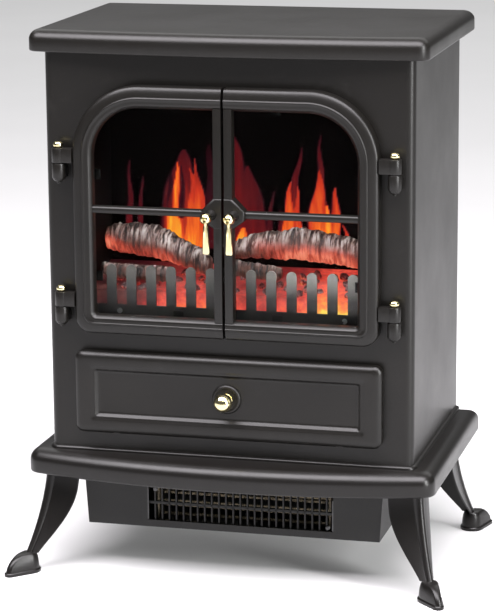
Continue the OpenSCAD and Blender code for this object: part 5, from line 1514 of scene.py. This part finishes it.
def make_screws():
    """Domed screws with a cross recess on the rear cover and under the legs."""
    head = Shell()
    head.turned("Z", (0, 0, 0), [(1e-6, -2.0), (1.8, -2.0), (1.8, 0.0), (3.6, 0.0), (3.6, 0.7),
        (3.2, 1.35), (2.3, 1.8), (1e-6, 2.0)], 24)
    for turn in (0, 1):
        a, b = (2.2, 0.45) if turn else (0.45, 2.2)
        head.block((-a, -b, 1.55), (a, b, 2.02), 0.1)
    shell = Shell()
    for low, high in islands("case_screws"):
        middle = (low + high) / 2
        tall = high.z - low.z > high.x - low.x
        if tall and middle.y < 0.13 and middle.z < 0.12:
            pts = [(middle.x + x * MM, middle.y + y * MM, low.z + 2 * MM - z * MM) for x, y,
                z in head.points]
        else:
            pts = [(middle.x + x * MM, high.y - 2 * MM + z * MM, middle.z + y * MM) for x, y,
                z in head.points]
        shell.add(pts, head.faces)
    finish_piece("cross_screws", shell, "dark_screw", STOVE, ["case_screws"],
        angle=40)


def make_louvres():
    """Pressed hoods over the rear cover's air slots, repeated by a node tree."""
    low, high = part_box("rear_cover")
    tree = RepeatTree("Louvre hoods", [
        ("Count", "NodeSocketInt", 9), ("Pitch", "NodeSocketFloat", 0.011),
        ("Width", "NodeSocketFloat", 0.062),
        ("Radius", "NodeSocketFloat", 0.0032), ("Place", "NodeSocketVector", (0, 0, 0)),
    ])
    g, n = tree.given.outputs, tree.node
    hood = n("GeometryNodeMeshCylinder", None, Vertices=20, Radius=g["Radius"], Depth=g["Width"])
    hood = n("GeometryNodeTransform", None, Geometry=hood.outputs[0], Rotation=(0, math.pi / 2, 0))
    points = point_cloud(tree, g["Count"], g["Place"],
        vector_of(tree, 0.0, 0.0, math_of(tree.tree, "MULTIPLY", g["Pitch"], -1.0)))
    hoods = n("GeometryNodeInstanceOnPoints", None, Points=points, Instance=hood.outputs[0])
    tree.end(hoods.outputs[0], "rear")
    rows = {"left": (-66, 9, 11.0, high.z - 46 * MM), "right": (66, 9, 11.0, high.z - 46 * MM),
        "low": (-71, 6, 9.0, low.z + 69 * MM)}
    for name, (x, count, pitch, top) in rows.items():
        tree.made(f"louvres_{name}", {
            "Count": count, "Pitch": pitch * MM, "Width": 62 * MM, "Radius": 3.0 * MM,
            "Place": (x * MM, high.y - 0.6 * MM, top),
        }, STOVE, "rear_black")


def make_coals(sizes):
    """Loose coals scattered on the ember bed by a node tree with a fixed seed."""
    low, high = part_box("ember_bed")
    tree = RepeatTree("Coals", [
        ("Spread", "NodeSocketVector", (0.1, 0.02, 0.0)), ("Place", "NodeSocketVector", (0, 0, 0)),
        ("Slope", "NodeSocketFloat", 0.2), ("Density", "NodeSocketFloat", 9000.0),
        ("Coal size", "NodeSocketFloat", 0.005), ("Seed", "NodeSocketInt", 7),
    ])
    g, n = tree.given.outputs, tree.node
    spread = n("ShaderNodeSeparateXYZ", None, Vector=g["Spread"]).outputs
    bed = n("GeometryNodeMeshGrid", None, Size_X=spread[0], Size_Y=spread[1], Vertices_X=2,
        Vertices_Y=2)
    bed = n("GeometryNodeTransform", None, Geometry=bed.outputs[0], Translation=g["Place"],
        Rotation=vector_of(tree, g["Slope"], 0.0, 0.0))
    dots = n("GeometryNodeDistributePointsOnFaces", {"distribute_method": "POISSON"},
        Mesh=bed.outputs[0], Distance_Min=g["Coal size"], Density_Max=g["Density"], Seed=g["Seed"])
    coal = n("GeometryNodeMeshIcoSphere", None,
        Radius=math_of(tree.tree, "MULTIPLY", g["Coal size"], 0.5), Subdivisions=3)
    where = n("GeometryNodeInputPosition")
    rough = n("ShaderNodeTexNoise", None, Vector=where.outputs[0], Scale=260.0, Detail=3.0)
    push = n("ShaderNodeVectorMath", {"operation": "SUBTRACT"}, n0=rough.outputs["Color"],
        n1=(0.5, 0.5, 0.5))
    push = n("ShaderNodeVectorMath", {"operation": "SCALE"}, n0=push.outputs[0], Scale=0.004)
    lumpy = n("GeometryNodeSetPosition", None, Geometry=coal.outputs[0], Offset=push.outputs[0])
    turn = n("FunctionNodeRandomValue", {"data_type": "FLOAT_VECTOR"}, Seed=g["Seed"])
    turn.inputs["Max"].default_value = (6.28, 6.28, 6.28)
    size = n("FunctionNodeRandomValue", {"data_type": "FLOAT_VECTOR"}, Seed=g["Seed"])
    size.inputs["Min"].default_value, size.inputs["Max"].default_value = (0.7, 0.6, 0.5), (1.5, 1.0,
        0.9)
    coals = n("GeometryNodeInstanceOnPoints", None, Points=dots.outputs[0],
        Instance=lumpy.outputs[0], Rotation=turn.outputs[0], Scale=size.outputs[0])
    tree.end(coals.outputs[0], "coals")
    depth = high.y - low.y - 28 * MM
    tree.made("loose_coals", {
        "Spread": (high.x - low.x - 24 * MM, depth, 0.0),
        "Place": (0.0, (low.y + high.y) / 2 - 4 * MM, (low.z + high.z) / 2 + 28.0 * MM),
        "Slope": math.atan2(16, 67), "Density": 30000.0, "Coal size": sizes.coal, "Seed": 7,
    }, STOVE, "embers", angle=60)


# ---------------------------------------------------------------- solids that keep their shape

KEPT = {
    "heater": ["heater_housing"],
    "rear": ["base_pan", "rear_cover"],
    "mica": ["heating_element"],
    "motor": ["thermal_cutout", "fan_motor", "spindle_motor"],
    "galvanised": ["fan_scroll", "flame_template"],
    "plastic": ["shaft_bearings", "control_bay", "control_bodies", "cable_gland", "switch_low",
        "switch_high", "brightness_dial", "thermostat_dial"],
    "sheet": ["firebox_liner", "left_glass_clips", "right_glass_clips"],
    "porcelain": ["lamp_holders", "terminal_block"],
    "lamp": ["lamp_bulbs"],
    "steel": ["flap_pins", "flap_lugs"],
    "aluminium": ["fret_screws", "fan_rotor", "flame_spindle"],
    "glass": ["left_glass", "right_glass"],
    "magnet": ["catch_magnets"],
    "rocker_red": ["switch_flame"],
}


def finish_solids():
    """Gives the CAD solids that keep their shape their finishes."""
    for finish, nodes in KEPT.items():
        for node in nodes:
            mesh = frame["nodes"][node].data
            mesh.materials.clear()
            mesh.materials.append(FINISHES[finish])


# ---------------------------------------------------------------- stage

# Floor's reach, the lights' power in watts, and the camera's lens in millimetres, place and directions
FLOOR_HALF, FLOOR_FRONT, FLOOR_BACK = 5, -6, 7
OVERHEAD_WATTS, SIDE_WATTS, BACK_WATTS = 230, 60, 190
WORLD_STRENGTH = 0.12
CAMERA_SENSOR, CAMERA_LENS = 36.0, 156.88235
CAMERA_PLACE = (0.6509, -2.5218, 0.8415)
CAMERA_RIGHT = (0.96808, 0.25052, -0.00783)
CAMERA_FORWARD = (-0.24607, 0.94399, -0.21985)


def aimed(kind, name, place, target, energy, size, size_y=None, tint=(1, 1, 1)):
    """A soft light that looks at a target."""
    lamp = bpy.data.lights.new(name, kind)
    lamp.energy = energy
    lamp.color = tint
    lamp.shape = "RECTANGLE"
    lamp.size, lamp.size_y = size, size_y or size
    holder = bpy.data.objects.new(name, lamp)
    holder.location = place
    holder.rotation_euler = (Vector(target) - Vector(place)).to_track_quat("-Z", "Y").to_euler()
    bpy.context.scene.collection.objects.link(holder)
    return holder


def make_stage():
    """Pale floor, soft lights and the camera."""
    scene = bpy.context.scene
    tree, shader, place = new_material("floor")
    grain = node_of(tree, "ShaderNodeTexNoise", None, Vector=place, Scale=3.0, Detail=3.0)
    link_in(tree, mix_of(tree, grain.outputs[0], (0.54, 0.54, 0.54), (0.58, 0.58, 0.58)),
        shader.inputs["Base Color"])
    shader.inputs["Roughness"].default_value = 0.9
    shader.inputs["Specular IOR Level"].default_value = 0.1
    shader.inputs["Emission Color"].default_value = (1.0, 1.0, 1.0, 1.0)
    shader.inputs["Emission Strength"].default_value = 0.10
    mesh = bpy.data.meshes.new("floor")
    corners = [(-FLOOR_HALF, FLOOR_FRONT, 0), (FLOOR_HALF, FLOOR_FRONT, 0),
        (FLOOR_HALF, FLOOR_BACK, 0), (-FLOOR_HALF, FLOOR_BACK, 0)]
    mesh.from_pydata(corners, [], [(0, 1, 2, 3)])
    mesh.materials.append(FINISHES["floor"])
    floor = bpy.data.objects.new("floor", mesh)
    scene.collection.objects.link(floor)
    world = bpy.data.worlds.new("studio")
    world.use_nodes = True
    world.node_tree.nodes["Background"].inputs["Color"].default_value = (0.98, 0.99, 1.0, 1)
    world.node_tree.nodes["Background"].inputs["Strength"].default_value = WORLD_STRENGTH
    scene.world = world
    middle = (CAD_BOX[0] + CAD_BOX[1]) / 2
    aimed("AREA", "overhead_box", (0.0, -0.9, 2.1), middle, OVERHEAD_WATTS, 3.4, 1.5,
        (1.0, 0.96, 1.0))
    aimed("AREA", "right_box", (1.9, -0.95, 0.85), middle, SIDE_WATTS, 0.25, 1.5)
    aimed("AREA", "back_fill", (0, 4.2, 3.6), (0, 4.2, 0), BACK_WATTS, 8.0, 5.0)
    scene.view_settings.view_transform = "Standard"
    eye = bpy.data.cameras.new("camera")
    eye.sensor_fit = "VERTICAL"
    eye.sensor_height = CAMERA_SENSOR
    eye.lens = CAMERA_LENS
    eye.clip_start, eye.clip_end = 0.1, 60.0
    right = Vector(CAMERA_RIGHT).normalized()
    forward = Vector(CAMERA_FORWARD).normalized()
    up = right.cross(forward).normalized()
    right = forward.cross(up).normalized()
    turn = Matrix((right, up, -forward)).transposed().to_4x4()
    holder = bpy.data.objects.new("camera", eye)
    holder.matrix_world = Matrix.Translation(CAMERA_PLACE) @ turn
    scene.collection.objects.link(holder)
    scene.camera = holder


# ---------------------------------------------------------------- operators and panel


class STOVE_OT_finishes(bpy.types.Operator):
    """Makes every finish, and gives the solids that keep their shape theirs"""

    bl_idname = "stove.finishes"
    bl_label = "Finishes"

    def execute(self, context):
        make_materials(context.scene.stove_colours)
        finish_solids()
        return {"FINISHED"}


class STOVE_OT_lid(bpy.types.Operator):
    """Makes the pressed lid"""

    bl_idname = "stove.lid"
    bl_label = "Lid"

    def execute(self, context):
        make_lid(context.scene.stove_sizes)
        return {"FINISHED"}


class STOVE_OT_base(bpy.types.Operator):
    """Makes the base moulding and the bead round the casing"""

    bl_idname = "stove.base"
    bl_label = "Base"

    def execute(self, context):
        make_base(context.scene.stove_sizes)
        return {"FINISHED"}


class STOVE_OT_casing(bpy.types.Operator):
    """Makes the folded casing sheet"""

    bl_idname = "stove.casing"
    bl_label = "Casing"

    def execute(self, context):
        make_casing(context.scene.stove_sizes)
        return {"FINISHED"}


class STOVE_OT_legs(bpy.types.Operator):
    """Makes the four swept legs"""

    bl_idname = "stove.legs"
    bl_label = "Legs"

    def execute(self, context):
        make_legs("front_legs", "front_leg_pair", -1)
        make_legs("rear_legs", "rear_leg_pair", 1)
        return {"FINISHED"}


class STOVE_OT_feet(bpy.types.Operator):
    """Makes the four moulded feet"""

    bl_idname = "stove.feet"
    bl_label = "Feet"

    def execute(self, context):
        make_feet()
        return {"FINISHED"}


class STOVE_OT_doors(bpy.types.Operator):
    """Makes both door frames"""

    bl_idname = "stove.doors"
    bl_label = "Doors"

    def execute(self, context):
        for side in (-1, 1):
            make_door(context.scene.stove_sizes, side)
        return {"FINISHED"}


class STOVE_OT_handles(bpy.types.Operator):
    """Makes both ball handles and their drops"""

    bl_idname = "stove.handles"
    bl_label = "Handles"

    def execute(self, context):
        for side in (-1, 1):
            make_handle(side)
        return {"FINISHED"}


class STOVE_OT_hinges(bpy.types.Operator):
    """Makes the hinge knuckles and the pin heads"""

    bl_idname = "stove.hinges"
    bl_label = "Hinges"

    def execute(self, context):
        make_hinges()
        return {"FINISHED"}


class STOVE_OT_flap(bpy.types.Operator):
    """Makes the flap in front of the controls"""

    bl_idname = "stove.flap"
    bl_label = "Flap"

    def execute(self, context):
        make_flap(context.scene.stove_sizes)
        return {"FINISHED"}


class STOVE_OT_knob(bpy.types.Operator):
    """Makes the knob and its plate"""

    bl_idname = "stove.knob"
    bl_label = "Knob"

    def execute(self, context):
        make_knob()
        return {"FINISHED"}


class STOVE_OT_flames(bpy.types.Operator):
    """Makes the lit flame screen"""

    bl_idname = "stove.flames"
    bl_label = "Flames"

    def execute(self, context):
        make_flames()
        return {"FINISHED"}


class STOVE_OT_embers(bpy.types.Operator):
    """Makes the ember moulding and its loose coals"""

    bl_idname = "stove.embers"
    bl_label = "Embers"

    def execute(self, context):
        make_ember_bed()
        make_coals(context.scene.stove_sizes)
        return {"FINISHED"}


class STOVE_OT_logs(bpy.types.Operator):
    """Makes the logs"""

    bl_idname = "stove.logs"
    bl_label = "Logs"

    def execute(self, context):
        make_logs(context.scene.stove_sizes)
        return {"FINISHED"}


class STOVE_OT_fret(bpy.types.Operator):
    """Makes the fret in front of the embers"""

    bl_idname = "stove.fret"
    bl_label = "Fret"

    def execute(self, context):
        make_fret()
        return {"FINISHED"}


class STOVE_OT_grille(bpy.types.Operator):
    """Makes the heater outlet grille"""

    bl_idname = "stove.grille"
    bl_label = "Grille"

    def execute(self, context):
        make_grille()
        return {"FINISHED"}


class STOVE_OT_louvres(bpy.types.Operator):
    """Makes the hoods over the rear air slots"""

    bl_idname = "stove.louvres"
    bl_label = "Louvres"

    def execute(self, context):
        make_louvres()
        return {"FINISHED"}


class STOVE_OT_screws(bpy.types.Operator):
    """Makes the case screws"""

    bl_idname = "stove.screws"
    bl_label = "Screws"

    def execute(self, context):
        make_screws()
        return {"FINISHED"}


class STOVE_OT_stage(bpy.types.Operator):
    """Makes the floor, the lights and the camera"""

    bl_idname = "stove.stage"
    bl_label = "Stage"

    def execute(self, context):
        make_stage()
        return {"FINISHED"}


OPERATORS = (
    STOVE_OT_finishes,
    STOVE_OT_lid,
    STOVE_OT_base,
    STOVE_OT_casing,
    STOVE_OT_legs,
    STOVE_OT_feet,
    STOVE_OT_doors,
    STOVE_OT_handles,
    STOVE_OT_hinges,
    STOVE_OT_flap,
    STOVE_OT_knob,
    STOVE_OT_flames,
    STOVE_OT_embers,
    STOVE_OT_logs,
    STOVE_OT_fret,
    STOVE_OT_grille,
    STOVE_OT_louvres,
    STOVE_OT_screws,
    STOVE_OT_stage,
)


class STOVE_PT_panel(bpy.types.Panel):
    """Sidebar page of the stove"""

    bl_idname = "STOVE_PT_panel"
    bl_label = "Electric stove"
    bl_space_type = "VIEW_3D"
    bl_region_type = "UI"
    bl_category = "Stove"

    def draw(self, context):
        scene = context.scene
        for group in (scene.stove_sizes, scene.stove_colours):
            box = self.layout.box()
            for key in group.__annotations__:
                box.prop(group, key)
        column = self.layout.column(align=True)
        for made in OPERATORS:
            column.operator(made.bl_idname)


CLASSES = (StoveSizes, StoveColours, *OPERATORS, STOVE_PT_panel)


def register():
    """Registers the classes and puts the sizes and colours on the scene."""
    for made in CLASSES:
        bpy.utils.register_class(made)
    bpy.types.Scene.stove_sizes = bpy.props.PointerProperty(type=StoveSizes)
    bpy.types.Scene.stove_colours = bpy.props.PointerProperty(type=StoveColours)


def unregister():
    """Takes the sizes, the colours and the classes off again."""
    del bpy.types.Scene.stove_colours
    del bpy.types.Scene.stove_sizes
    for made in reversed(CLASSES):
        bpy.utils.unregister_class(made)


def main():
    """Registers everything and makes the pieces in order."""
    register()
    for made in OPERATORS:
        group, name = made.bl_idname.split(".")
        getattr(getattr(bpy.ops, group), name)()


if __name__ == "__main__":
    main()
